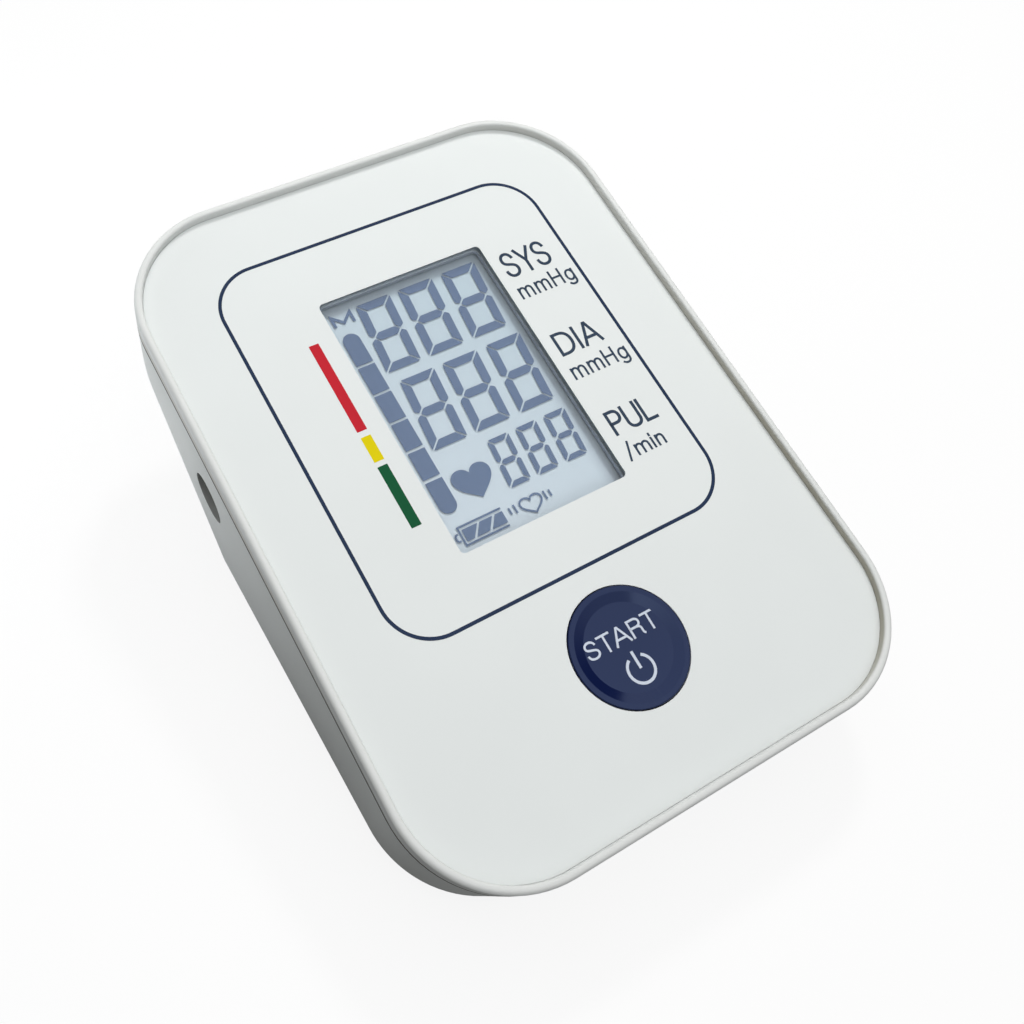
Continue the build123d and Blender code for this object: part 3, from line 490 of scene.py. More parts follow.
@dataclass(frozen=True)
class FacePlate(Finish):
    """Printed face plate, with painted shade on the wall of the window's cut-out."""

    window: Triple = (18.65, 28.7, 1.0)
    middle: float = 13.8
    skin: float = 0.03
    # Painted shade: the colour of the cut-out's wall round the window.
    edge: Colour = linear(132, 142, 148)

    def over(self, graph: Graph, base: Socket) -> Socket:
        """Paints shade on the wall of the window's cut-out.

        Args:
            graph: the material's graph.
            base: the plain tone.

        Returns:
            The colour.
        """
        half_w, half_l, radius = self.window
        spot = graph.group(
            SharedEffects.face_outline(), Half_Width=half_w, Half_Length=half_l, Radius=radius, Middle=self.middle
        )
        # Painted shade on the wall of the window's cut-out.
        wall = graph.math("LESS_THAN", spot["Distance"], self.skin)
        below = graph.math("LESS_THAN", spot["Up"], -self.skin)
        return graph.mix(graph.times(wall, below), base, self.edge)


@dataclass(frozen=True)
class Gasket(Finish):
    """Grey foam whose face under the pane is painted paler, as painted light in that shaded slot."""

    glued: float = -1.6
    # Painted light: paler tone of the face under the pane.
    painted_top_light: Colour = linear(204, 216, 226)

    def over(self, graph: Graph, base: Socket) -> Socket:
        """Paints light on the face under the pane, making it paler.

        Args:
            graph: the material's graph.
            base: the plain tone.

        Returns:
            The colour.
        """
        spot = graph.group(SharedEffects.face_outline())
        # Painted light on the face under the pane.
        return graph.mix(graph.math("GREATER_THAN", spot["Up"], self.glued), base, self.painted_top_light)


@dataclass(frozen=True)
class MouldedShell(Finish):
    """Half of the case, with painted shade on the rim's inner side at the right, on the skirt under the rim towards
    the rear, in the seam's groove and inside the air socket's bore.
    """

    case: Triple = (52.35, 70.9, 22.5)
    # Painted shade: darker tone of the rim's inner side at the right and of the skirt under the rim.
    rim_shade: Colour = linear(174, 170, 156)
    skirt: Colour = linear(208, 206, 200)
    seam: float = -3.05
    # Painted shade in the seam's groove between the two halves.
    seam_shade: Colour = linear(72, 64, 60)
    bore: Triple = (24.1715, 24.9915, 5.44)
    # Painted shade inside the air socket's bore in the left wall.
    bore_shade: Colour = linear(150, 151, 148)
    wall: float = -45.0
    below_crest: Pair = (1.65, 1.0)
    above_face: Pair = (-0.7, -0.5)
    inner_side: Pair = (-0.95, -1.55)
    outer_side: Pair = (-1.2, -0.6)
    below_rim: Pair = (-0.3, -0.9)
    to_right: Pair = (20.0, 50.0)
    to_front: Pair = (60.0, -30.0)
    to_rear: Pair = (-45.0, 10.0)
    least: float = 0.35
    seam_half: Pair = (0.54, 0.4)
    seam_depth: Pair = (-2.0, -1.4)

    def over(self, graph: Graph, base: Socket) -> Socket:
        """Paints shade on the rim's inner side, the skirt, the seam's groove and the air socket's bore.

        Args:
            graph: the material's graph.
            base: the plain tone.

        Returns:
            The colour.
        """
        half_w, half_l, radius = self.case
        spot = graph.group(SharedEffects.face_outline(), Half_Width=half_w, Half_Length=half_l, Radius=radius)
        up, outward, across, along = (spot[name] for name in ("Up", "Distance", "Across", "Along"))
        low = graph.times(graph.ramp(up, *self.below_crest), graph.ramp(up, *self.above_face))
        # Painted shade on the rim's inner side at the right, stronger towards the front.
        right = graph.times(graph.ramp(outward, *self.inner_side), low, graph.ramp(across, *self.to_right))
        share = graph.math("MULTIPLY_ADD", graph.ramp(along, *self.to_front), 1.0 - self.least, self.least)
        # Painted shade on the skirt under the rim, towards the rear.
        skirt = graph.times(
            graph.ramp(up, *self.below_rim), graph.ramp(outward, *self.outer_side),
            graph.math("GREATER_THAN", up, self.seam), graph.ramp(along, *self.to_rear),
        )
        # Painted shade in the seam's groove.
        away = graph.math("ABSOLUTE", graph.math("SUBTRACT", up, self.seam))
        groove = graph.times(graph.ramp(away, *self.seam_half), graph.ramp(outward, *self.seam_depth))
        toned = graph.mix(skirt, graph.mix(graph.times(share, right), base, self.rim_shade), self.skirt)
        shaded_colour = graph.mix(groove, toned, self.seam_shade)
        # Painted shade inside the air socket's bore.
        return graph.mix(self.inside_bore(graph), shaded_colour, self.bore_shade)

    def inside_bore(self, graph: Graph) -> Socket:
        """Masks the air socket's opening in the left wall, inside the wall's thickness.

        Args:
            graph: the material's graph.

        Returns:
            The mask.
        """
        y, z, radius = self.bore
        parts = graph.apart(graph.place())
        along = graph.math("SUBTRACT", parts[1], y * MM)
        up = graph.math("SUBTRACT", parts[2], z * MM)
        reach = graph.math("SQRT", graph.math("MULTIPLY_ADD", along, along, graph.times(up, up)))
        near = graph.math("LESS_THAN", reach, radius * MM)
        return graph.times(near, graph.math("LESS_THAN", parts[0], self.wall * MM))


@dataclass(frozen=True)
class Metal(Finish):
    """Metal, drawn or brushed along one direction."""

    along: Triple = (1.0, 1.0, 0.08)
    lines: float = 1500.0

    def extras(self, graph: Graph, shader: Node) -> None:
        """Adds the drawing lines to the gloss.

        Args:
            graph: the material's graph.
            shader: the Principled shader.
        """
        shader.inputs["Metallic"].default_value = 1.0
        lines = graph.noise(graph.stretched(Scale=self.along), Scale=self.lines, Detail=3.0)
        low, high = self.roughness - self.spread, self.roughness + self.spread
        gloss = graph.add("MapRange", Value=lines, To_Min=low, To_Max=high)
        graph.wire(gloss.outputs["Result"], shader.inputs["Roughness"])


@dataclass(frozen=True)
class Banded(Finish):
    """Sleeve with bands of other colours along one direction of the row, such as on a cell."""

    direction: Triple = (0.0, 1.0, 0.0)
    bands: tuple[tuple[float, float, Colour], ...] = ()
    bare: tuple[Pair, ...] = ()
    bare_tone: Colour = linear(205, 205, 200)

    def over(self, graph: Graph, base: Socket) -> Socket:
        """Adds the bands to the plain tone.

        Args:
            graph: the material's graph.
            base: the plain tone.

        Returns:
            The colour.
        """
        for low, high, other in self.bands:
            base = graph.mix(self.between(graph, low, high), base, other)
        for low, high in self.bare:
            base = graph.mix(self.between(graph, low, high), base, self.bare_tone)
        return base

    def between(self, graph: Graph, low: float, high: float) -> Socket:
        """Mask that is 1 between two places in millimetres along the direction."""
        along = graph.along(self.direction)
        return graph.times(graph.math("GREATER_THAN", along, low * MM), graph.math("LESS_THAN", along, high * MM))

    def extras(self, graph: Graph, shader: Node) -> None:
        """Makes the bare ends metal.

        Args:
            graph: the material's graph.
            shader: the Principled shader.
        """
        if self.bare:
            total = self.between(graph, *self.bare[0])
            for low, high in self.bare[1:]:
                total = graph.math("MAXIMUM", total, self.between(graph, low, high))
            graph.wire(total, shader.inputs["Metallic"])


@dataclass(frozen=True)
class BoardLacquer(Finish):
    """Solder mask over copper tracks."""

    track_scale: float = 180.0
    track_gap: float = 0.035
    hole_scale: float = 230.0
    hole_size: float = 0.11
    hole_tone: Colour = linear(200, 196, 176)

    def over(self, graph: Graph, base: Socket) -> Socket:
        """Paler lines where tracks run under the lacquer, and plated holes.

        Args:
            graph: the material's graph.
            base: the plain tone.

        Returns:
            The colour.
        """
        place = graph.place()
        tracks = graph.add(
            "TexBrick", offset=0.37, squash=0.6, squash_frequency=3, Vector=place, Scale=self.track_scale,
            Mortar_Size=self.track_gap, Mortar_Smooth=0.1,
        )
        copper = tuple(min(1.0, c * 2.6 + 0.02) for c in self.colour)
        lined = graph.mix(tracks.outputs["Fac"], base, copper)
        holes = graph.add("TexVoronoi", Scale=self.hole_scale, Randomness=0.55, Vector=place)
        plated = graph.math("LESS_THAN", holes.outputs["Distance"], self.hole_size)
        return graph.mix(plated, lined, self.hole_tone)


@dataclass(frozen=True)
class DisplayGround(Finish):
    """Pale ground of the display: a soft cool gradient with a very fine sparkle, and a painted shadow along its right
    and rear edges.
    """

    far: Colour = linear(214, 228, 238)
    # Painted shadow: its tone, how far it reaches in from the right and rear edges, and how strong it is.
    painted_shadow: Colour = linear(120, 130, 150)
    turn: float = 38.0
    near_to_far: Pair = (0.045, -0.02)
    right_shadow: Pair = (14.5, 18.6)
    rear_shadow: Pair = (38.0, 42.5)
    shadow_share: float = 0.35
    sparkle: float = 0.08

    def over(self, graph: Graph, base: Socket) -> Socket:
        """Blends from the near tone to the far one across the display and paints a shadow along its right and rear
        edges.

        Args:
            graph: the material's graph.
            base: the plain tone.

        Returns:
            The colour.
        """
        parts = graph.apart(graph.stretched(Rotation=(0.0, 0.0, math.radians(self.turn))))
        base = graph.mix(graph.ramp(parts[1], *self.near_to_far), self.colour, self.far)
        spot = graph.group(SharedEffects.face_outline())
        # Painted shadow of the window's right and rear walls on the ground.
        right = graph.ramp(spot["Across"], *self.right_shadow)
        rear = graph.ramp(spot["Along"], *self.rear_shadow)
        base = graph.mix(graph.times(graph.math("MAXIMUM", right, rear), self.shadow_share), base, self.painted_shadow)
        sparkle = graph.noise(graph.place(), Scale=5200.0, Detail=2.0)
        return graph.mix(graph.times(sparkle, self.sparkle), base, tuple(c * 0.8 for c in self.colour))


def ink(name: str, colour: Colour, shade: float = 0.88, specular: float = 0.2) -> Finish:
    """Printed ink of a colour."""
    return Finish(
        name, colour, roughness=0.4, spread=0.08, grain=1800, relief=0.004, shade=shade, specular=specular
    )


NAVY_INK = ink("navy_ink", linear(28, 46, 76))
LABEL_INK = ink("label_ink", linear(48, 64, 84))
RED_INK = ink("red_ink", linear(196, 36, 50), 0.93, 0.1)
YELLOW_INK = ink("yellow_ink", linear(224, 206, 0), 0.95, 0.1)
GREEN_INK = ink("green_ink", linear(18, 88, 54), 0.9, 0.1)
BUTTON_INK = ink("button_ink", linear(208, 216, 230), 0.94)
SHELL = MouldedShell("shell_white", linear(226, 228, 226), roughness=0.5, grain=2600, relief=0.012, shade=0.975)
COVER = Finish("cover_white", linear(223, 226, 226), roughness=0.52, grain=2600, relief=0.014, shade=0.975)
CELL_GLASS = ClearSheet(
    "cell_glass", linear(240, 246, 252), roughness=0.1, spread=0.04, grain=500, relief=0.0005, shade=1.0, mirror=0.012
)
GROUND = DisplayGround(
    "display_ground", linear(195, 214, 225), roughness=0.55, spread=0.05, relief=0.004, specular=0.15
)
SEGMENT = Finish(
    "segment_grey", linear(95, 118, 153), roughness=0.5, spread=0.05, relief=0.003, specular=0.1, scuff=0.05
)
CELL_SEAL = Finish("cell_seal", linear(132, 142, 156), roughness=0.5, spread=0.05, grain=900, relief=0.004)
EPOXY = Finish("chip_epoxy", linear(38, 38, 41), roughness=0.55, spread=0.12, grain=3200, relief=0.03, shade=0.85)
BLACK = Finish("moulded_black", linear(36, 37, 39), roughness=0.45, grain=2000, relief=0.025, shade=0.85)
TUBE = Finish("tube_silicone", linear(196, 192, 178), roughness=0.35, grain=1200, relief=0.01, coat=0.15)
FOOT = Finish("foot_rubber", linear(120, 122, 125), roughness=0.75, spread=0.12, grain=1500, relief=0.05, shade=0.88)
SCREW = Metal("screw_steel", linear(150, 150, 152), roughness=0.34, along=(1.0, 1.0, 0.3))
NICKEL = Metal("contact_nickel", linear(205, 203, 196), roughness=0.25, spread=0.08, along=(0.2, 1.0, 1.0))
SOLDER = Metal("tinned_leg", linear(198, 200, 204), roughness=0.3, along=(1.0, 1.0, 1.0))
STRIPE = linear(30, 30, 32)
FINISHES: dict[str, Finish] = {
    "top_case": SHELL,
    "bottom_case": SHELL,
    "battery_cover": COVER,
    "front_panel": FacePlate(
        "panel_grey_white", linear(227, 231, 230), roughness=0.36, spread=0.07, grain=900, relief=0.003, shade=0.985,
        scuff=0.1,
    ),
    "display_window": ClearSheet(
        "clear_pane", linear(246, 248, 250), roughness=0.06, spread=0.05, grain=500, relief=0.0005, shade=1.0
    ),
    "display_gasket": Gasket(
        "gasket_foam", linear(166, 176, 188), roughness=0.85, grain=1600, relief=0.01, shade=0.95, specular=0.1
    ),
    "lcd_glass": Finish("glass_edge", linear(150, 176, 170), roughness=0.25, spread=0.05, grain=900, relief=0.004),
    "lcd_reflector": Finish("reflector_film", linear(196, 203, 210), roughness=0.3, grain=4000, relief=0.006),
    "display_frame": Finish(
        "frame_white", linear(222, 222, 216), roughness=0.5, spread=0.08, grain=1800, relief=0.015, shade=0.95
    ),
    "contact_strips": Banded(
        "elastic_strip", linear(110, 140, 160), roughness=0.6, spread=0.08, direction=(1.0, 0.0, 0.0),
        bands=tuple((x - 0.12, x + 0.12, STRIPE) for x in range(-19, 20)),
    ),
    "main_board": BoardLacquer("board_green", linear(22, 92, 58), roughness=0.3, grain=1500, relief=0.01),
    "controller_chip": EPOXY,
    "analog_chip": EPOXY,
    "board_capacitors": Finish(
        "capacitor_sleeve", linear(34, 36, 56), roughness=0.3, grain=900, relief=0.01, coat=0.3
    ),
    "buzzer": BLACK,
    "pressure_sensor": Finish("sensor_ivory", linear(218, 214, 200), roughness=0.5, grain=2200),
    "switch_body": BLACK,
    "switch_plunger": Finish("plunger_grey", linear(128, 130, 134), roughness=0.45, grain=2200),
    "start_button": Lacquer(
        "button_navy", linear(8, 20, 62), roughness=0.12, spread=0.05, grain=700, relief=0.001, shade=0.9, scuff=0.05,
        specular=0.6,
    ),
    "pump_motor": Metal("motor_can", linear(186, 186, 182), roughness=0.32, grain=1200, relief=0.01),
    "pump_head": Finish("pump_grey", linear(70, 72, 77), roughness=0.5, grain=1800, relief=0.03, shade=0.88),
    "pump_sleeve": Finish("cushion_rubber", linear(44, 44, 46), roughness=0.8, grain=1300, relief=0.06, shade=0.8),
    "exhaust_valve": Metal(
        "valve_steel", linear(176, 178, 180), roughness=0.36, spread=0.12, grain=1200, relief=0.01
    ),
    "bleed_valve": Finish("bleed_rubber", linear(150, 66, 48), roughness=0.6, grain=1500, relief=0.03),
    "air_manifold": Finish("air_ivory", linear(214, 212, 202), roughness=0.48, grain=2000),
    "pump_tube": TUBE,
    "socket_tube": TUBE,
    "sensor_tube": TUBE,
    "air_socket": Finish("socket_charcoal", linear(48, 50, 53), roughness=0.5, grain=2200, shade=0.85),
    "socket_seal": Finish("seal_rubber", linear(30, 30, 32), roughness=0.5, grain=1500),
    "dc_jack": BLACK,
    "spring_contacts": NICKEL,
    "plate_contacts": NICKEL,
    "case_screws": SCREW,
    "board_screws": SCREW,
    "foot_front_left": FOOT,
    "foot_front_right": FOOT,
    "foot_rear_left": FOOT,
    "foot_rear_right": FOOT,
}


# ---- workbench
class Bench:
    """Modelling steps, as done by hand, on one object at a time."""

    @staticmethod
    def clear() -> None:
        """Leaves edit mode and deselects everything."""
        if bpy.context.object is not None and bpy.context.object.mode != "OBJECT":
            bpy.ops.object.mode_set(mode="OBJECT")
        bpy.ops.object.select_all(action="DESELECT")

    @classmethod
    def take(cls, piece: Piece) -> Piece:
        """Selects one object and makes it active.

        Args:
            piece: the object.

        Returns:
            The same object.
        """
        cls.clear()
        piece.select_set(True)
        bpy.context.view_layer.objects.active = piece
        return piece

    @classmethod
    @contextmanager
    def editing(cls, piece: Piece, pick: Pick = Pick.FACES) -> Iterator[None]:
        """Opens one object in edit mode with all of it selected, and leaves edit mode at the end.

        Args:
            piece: the object.
            pick: what is selected.
        """
        cls.take(piece)
        bpy.ops.object.mode_set(mode="EDIT")
        bpy.ops.mesh.select_mode(type=pick.value)
        bpy.ops.mesh.select_all(action="SELECT")
        yield
        bpy.ops.object.mode_set(mode="OBJECT")

    @staticmethod
    def outward() -> None:
        """Points all faces of the object in edit mode outwards."""
        bpy.ops.mesh.select_all(action="SELECT")
        bpy.ops.mesh.normals_make_consistent(inside=False)

    @staticmethod
    def new(name: str, data: bpy.types.ID) -> Piece:
        """Puts a new object in the scene.

        Args:
            name: the object's name.
            data: its mesh, curve, lamp or camera.

        Returns:
            The object.
        """
        piece = bpy.data.objects.new(name, data)
        bpy.context.scene.collection.objects.link(piece)
        return piece

    @classmethod
    def mesh(
        cls, name: str, points: Iterable[Triple], edges: Sequence[tuple[int, int]] = (),
        faces: Sequence[tuple[int, ...]] = (),
    ) -> Piece:
        """Makes an object from points.

        Args:
            name: the object's name.
            points: its points, in millimetres.
            edges: its loose edges.
            faces: its faces.

        Returns:
            The object.
        """
        data = bpy.data.meshes.new(name)
        data.from_pydata([tuple(value * MM for value in point) for point in points], edges, faces)
        return cls.new(name, data)

    @staticmethod
    def sized(name: str, size: Triple | Vector) -> Piece:
        """Gives the new active object its name and its size in metres, in its mesh.

        Args:
            name: the object's name.
            size: its sides.

        Returns:
            The object.
        """
        piece = bpy.context.object
        piece.name = name
        piece.scale = size
        bpy.ops.object.transform_apply(location=True, rotation=True, scale=True)
        return piece

    @classmethod
    def plane(cls, name: str, box: Box2) -> Piece:
        """Adds a flat rectangle in face coordinates.

        Args:
            name: the object's name.
            box: left, right, front and rear, in millimetres.

        Returns:
            The rectangle, with its place in its mesh.
        """
        cls.clear()
        left, right, front, rear = (value * MM for value in box)
        bpy.ops.mesh.primitive_plane_add(size=1.0, location=((left + right) / 2, (front + rear) / 2, 0.0))
        return cls.sized(name, (right - left, rear - front, 1.0))

    @classmethod
    def block(cls, name: str, middle: Triple, size: Triple, edge: float) -> Piece:
        """Adds a block with bevelled edges.

        Args:
            name: the object's name.
            middle: its middle, in millimetres.
            size: its sides, in millimetres.
            edge: width of the bevel.

        Returns:
            The block, with its place in its mesh.
        """
        cls.clear()
        bpy.ops.mesh.primitive_cube_add(size=1.0, location=Vector(middle) * MM)
        piece = cls.sized(name, Vector(size) * MM)
        with cls.editing(piece, Pick.EDGES):
            bpy.ops.mesh.bevel(offset=edge * MM, segments=2, affect="EDGES")
        return piece

    @classmethod
    def turned(cls, name: str, profile: Iterable[Pair], steps: int) -> Piece:
        """Turns a profile about the vertical axis.

        Args:
            name: the object's name.
            profile: radius and height of its points, in millimetres, from the axis to the axis.
            steps: how many sides it gets.

        Returns:
            The turned piece.
        """
        points = [(radius, 0.0, height) for radius, height in profile]
        piece = cls.mesh(name, points, [(i, i + 1) for i in range(len(points) - 1)])
        with cls.editing(piece, Pick.EDGES):
            bpy.ops.mesh.spin(steps=steps, angle=math.tau, center=(0.0, 0.0, 0.0), axis=(0.0, 0.0, 1.0))
            bpy.ops.mesh.select_all(action="SELECT")
            bpy.ops.mesh.remove_doubles(threshold=WELD * MM)
            cls.outward()
        return piece

    @classmethod
    def round_corners(cls, piece: Piece, radius: float, steps: int) -> None:
        """Rounds the corners of a flat piece by a radius in millimetres."""
        with cls.editing(piece):
            bpy.ops.mesh.bevel(offset=radius * MM, segments=steps, affect="VERTICES")

    @classmethod
    def hollow(cls, piece: Piece, width: float) -> None:
        """Leaves only a band along the outline of a flat piece.

        Args:
            piece: the flat piece.
            width: width of the band, in millimetres.
        """
        with cls.editing(piece):
            bpy.ops.mesh.inset(thickness=width * MM, use_even_offset=True)
            bpy.ops.mesh.delete(type="FACE")

    @classmethod
    def thicken(cls, piece: Piece, height: float) -> Piece:
        """Extrudes a flat piece upwards and points its faces outwards.

        Args:
            piece: the flat piece.
            height: its new thickness, in millimetres.

        Returns:
            The same piece.
        """
        with cls.editing(piece):
            bpy.ops.mesh.extrude_region_move(TRANSFORM_OT_translate={"value": (0.0, 0.0, height * MM)})
            cls.outward()
        return piece

    @classmethod
    def outline(cls, name: str, points: Iterable[Pair], height: float) -> Piece:
        """Makes a flat piece from its outline.

        Args:
            name: the object's name.
            points: the outline in millimetres, in face coordinates.
            height: its thickness, in millimetres.

        Returns:
            The piece.
        """
        ring = [(x, y, 0.0) for x, y in points]
        piece = cls.mesh(name, ring, faces=[tuple(range(len(ring)))])
        with cls.editing(piece):
            cls.outward()
        return cls.thicken(piece, height)

    @classmethod
    def pen(cls, name: str, strokes: Iterable[Stroke], line: float, height: float) -> Piece:
        """Draws strokes of one width as thin solid ink.

        Args:
            name: the object's name.
            strokes: each a start and then straight runs (x, y) or curves (two handles and the end), in millimetres.
            line: width of the stroke, in millimetres.
            height: thickness of the ink, in millimetres.

        Returns:
            The ink, standing on the face.
        """
        data = bpy.data.curves.new(name, "CURVE")
        data.dimensions = "3D"
        data.resolution_u = 7
        for lift, stroke in enumerate(strokes):
            closed = stroke[0] == stroke[-1][-2:]
            steps = stroke[:-1] if closed else stroke
            spline = data.splines.new("BEZIER")
            spline.bezier_points.add(len(steps) - 1)
            spline.use_cyclic_u = closed
            for i, (step, knot) in enumerate(zip(steps, spline.bezier_points)):
                arriving = stroke[-1] if closed and i == 0 else step
                leaving = stroke[i + 1] if i + 1 < len(stroke) else step
                spot = step[-2:]
                before = arriving[2:4] if len(arriving) == 6 else spot
                after = leaving[0:2] if len(leaving) == 6 else spot
                knot.handle_left_type = knot.handle_right_type = "FREE"
                for handle, (x, y) in (("co", spot), ("handle_left", before), ("handle_right", after)):
                    setattr(knot, handle, (x * MM, y * MM, lift * STROKE_LIFT * MM))
        cls.take(cls.new(name, data))
        bpy.ops.object.convert(target="MESH")
        piece = bpy.context.object
        with cls.editing(piece, Pick.POINTS):
            bpy.ops.mesh.dissolve_limited(angle_limit=math.radians(0.5))
            bpy.ops.mesh.select_all(action="SELECT")
            bpy.ops.mesh.extrude_region_move(TRANSFORM_OT_translate={"value": (0.0, 0.0, height * MM)})
        wall = piece.modifiers.new("line", "SOLIDIFY")
        wall.thickness = line * MM
        wall.offset = 0.0
        wall.use_even_offset = True
        wall.use_quality_normals = True
        bpy.ops.object.modifier_apply(modifier=wall.name)
        with cls.editing(piece):
            cls.outward()
        return piece

    @classmethod
    def join(cls, name: str, pieces: list[Piece]) -> Piece:
        """Joins pieces into one object.

        Args:
            name: the object's name.
            pieces: two pieces or more.

        Returns:
            The joined piece.
        """
        joined = cls.take(pieces[0])
        for piece in pieces[1:]:
            piece.select_set(True)
        bpy.ops.object.join()
        joined.name = joined.data.name = name
        return joined

    @classmethod
    def copy(cls, piece: Piece, name: str, shift: Triple) -> Piece:
        """Copies a piece with its own mesh.

        Args:
            piece: the piece.
            name: the copy's name.
            shift: how far the copy is moved, in millimetres.

        Returns:
            The copy.
        """
        twin = cls.new(name, piece.data.copy())
        twin.data.transform(Matrix.Translation(Vector(shift) * MM))
        return twin

    @classmethod
    def finish(cls, piece: Piece, body: Body, slot: str, finish: Finish, angle: float = 35.0) -> Piece:
        """Dresses a piece and makes it ride on its body.

        Args:
            piece: the finished mesh in its place.
            body: the body that it rides on.
            slot: not used.
            finish: its finish.
            angle: faces that meet at less than this are shaded smooth, in degrees.

        Returns:
            The piece.
        """
        cls.take(piece)
        bpy.ops.object.shade_smooth_by_angle(angle=math.radians(angle))
        piece.data.materials.clear()
        piece.data.materials.append(finish.build())
        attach(piece, body.value)
        LOG.info("%s: %d faces on %s", piece.name, len(piece.data.polygons), body.value)
        return piece

    @classmethod
    def lay(
        cls, piece: Piece, up: float, slot: str, finish: Finish, body: Body = Body.HOUSING, angle: float = 35.0
    ) -> Piece:
        """Moves a piece from face coordinates to its place and dresses it.

        Args:
            piece: the piece, made on the plane of the face.
            up: how far above the face it goes, in millimetres.
            slot: name of a material slot, passed on to finish.
            finish: its finish.
            body: the body that it rides on.
            angle: faces that meet at less than this are shaded smooth, in degrees.

        Returns:
            The piece.
        """
        piece.data.transform(FACE.matrix() @ Matrix.Translation((0.0, 0.0, up * MM)))
        piece.data.update()
        return cls.finish(piece, body, slot, finish, angle)


# ---- lettering
@dataclass(frozen=True)
class Glyph:
    """A letter as strokes of a pen, on a capital's height of 1."""

    width: float
    strokes: tuple[Stroke, ...]


BOWL = (0.0, 0.40), (0.0, 0.58, 0.09, 0.68, 0.21, 0.68), (0.33, 0.68, 0.40, 0.58, 0.40, 0.42), (0.40, 0.0)
SECOND_BOWL = tuple(tuple(value + 0.40 * ((i + 1) % 2) for i, value in enumerate(step)) for step in BOWL)
GLYPHS: dict[str, Glyph] = {
    "A": Glyph(0.74, (((0.0, 0.0), (0.345, 1.0), (0.395, 1.0), (0.74, 0.0)), ((0.12, 0.31), (0.62, 0.31)))),
    "D": Glyph(0.68, ((
        (0.0, 0.0), (0.0, 1.0), (0.26, 1.0), (0.53, 1.0, 0.68, 0.81, 0.68, 0.5), (0.68, 0.19, 0.53, 0.0, 0.26, 0.0),
        (0.0, 0.0),
    ),)),
    "H": Glyph(0.60, (((0.0, 0.0), (0.0, 1.0)), ((0.60, 0.0), (0.60, 1.0)), ((0.0, 0.53), (0.60, 0.53)))),
    "I": Glyph(0.0, (((0.0, 0.0), (0.0, 1.0)),)),
    "L": Glyph(0.44, (((0.0, 1.0), (0.0, 0.0), (0.44, 0.0)),)),
    "M": Glyph(1.0, (((0.0, 0.0), (0.0, 1.0), (0.5, 0.08), (1.0, 1.0), (1.0, 0.0)),)),
    "P": Glyph(0.50, ((
        (0.0, 0.0), (0.0, 1.0), (0.25, 1.0), (0.42, 1.0, 0.50, 0.89, 0.50, 0.735),
        (0.50, 0.58, 0.42, 0.47, 0.25, 0.47), (0.0, 0.47),
    ),)),
    "R": Glyph(0.56, (
        (
            (0.0, 0.0), (0.0, 1.0), (0.29, 1.0), (0.46, 1.0, 0.54, 0.90, 0.54, 0.76),
            (0.54, 0.62, 0.46, 0.52, 0.29, 0.52), (0.0, 0.52),
        ),
        ((0.29, 0.52), (0.45, 0.52, 0.52, 0.44, 0.52, 0.30), (0.52, 0.12), (0.52, 0.06, 0.535, 0.02, 0.56, 0.0)),
    )),
    "S": Glyph(0.54, ((
        (0.51, 0.80), (0.49, 0.92, 0.39, 1.0, 0.27, 1.0), (0.13, 1.0, 0.03, 0.90, 0.03, 0.75),
        (0.03, 0.60, 0.15, 0.555, 0.28, 0.515), (0.42, 0.47, 0.54, 0.42, 0.54, 0.265),
        (0.54, 0.10, 0.42, 0.0, 0.27, 0.0), (0.12, 0.0, 0.01, 0.09, 0.0, 0.23),
    ),)),
    "T": Glyph(0.58, (((0.0, 1.0), (0.58, 1.0)), ((0.29, 0.96), (0.29, 0.0)))),
    "U": Glyph(0.56, ((
        (0.0, 1.0), (0.0, 0.32), (0.0, 0.11, 0.11, 0.0, 0.28, 0.0), (0.45, 0.0, 0.56, 0.11, 0.56, 0.32), (0.56, 1.0),
    ),)),
    "Y": Glyph(0.60, (((0.0, 1.0), (0.30, 0.46), (0.60, 1.0)), ((0.30, 0.48), (0.30, 0.0)))),
    "g": Glyph(0.47, (
        (
            (0.47, 0.34), (0.47, 0.54, 0.37, 0.68, 0.235, 0.68), (0.10, 0.68, 0.0, 0.54, 0.0, 0.34),
            (0.0, 0.14, 0.10, 0.0, 0.235, 0.0), (0.37, 0.0, 0.47, 0.14, 0.47, 0.34),
        ),
        (
            (0.47, 0.68), (0.47, -0.06), (0.47, -0.24, 0.38, -0.32, 0.22, -0.32),
            (0.13, -0.32, 0.06, -0.29, 0.01, -0.23),
        ),
    )),
    "i": Glyph(0.0, (((0.0, 0.0), (0.0, 0.68)), ((0.0, 0.90), (0.0, 1.0)))),
    "m": Glyph(0.80, (((0.0, 0.0), (0.0, 0.68)), BOWL, SECOND_BOWL)),
    "n": Glyph(0.40, (((0.0, 0.0), (0.0, 0.68)), BOWL)),
    "/": Glyph(0.34, (((0.0, -0.14), (0.34, 1.12)),)),
}


KERNING = {"TA": -0.1, "AR": -0.01, "YS": -0.04, "IA": -0.04}
HEART: Stroke = (
    (0.5, 0.0), (0.40, 0.14, 0.0, 0.38, 0.0, 0.70), (0.0, 0.88, 0.11, 1.0, 0.26, 1.0),
    (0.37, 1.0, 0.46, 0.93, 0.5, 0.80),
    (0.54, 0.93, 0.63, 1.0, 0.74, 1.0), (0.89, 1.0, 1.0, 0.88, 1.0, 0.70), (1.0, 0.38, 0.60, 0.14, 0.5, 0.0),
)


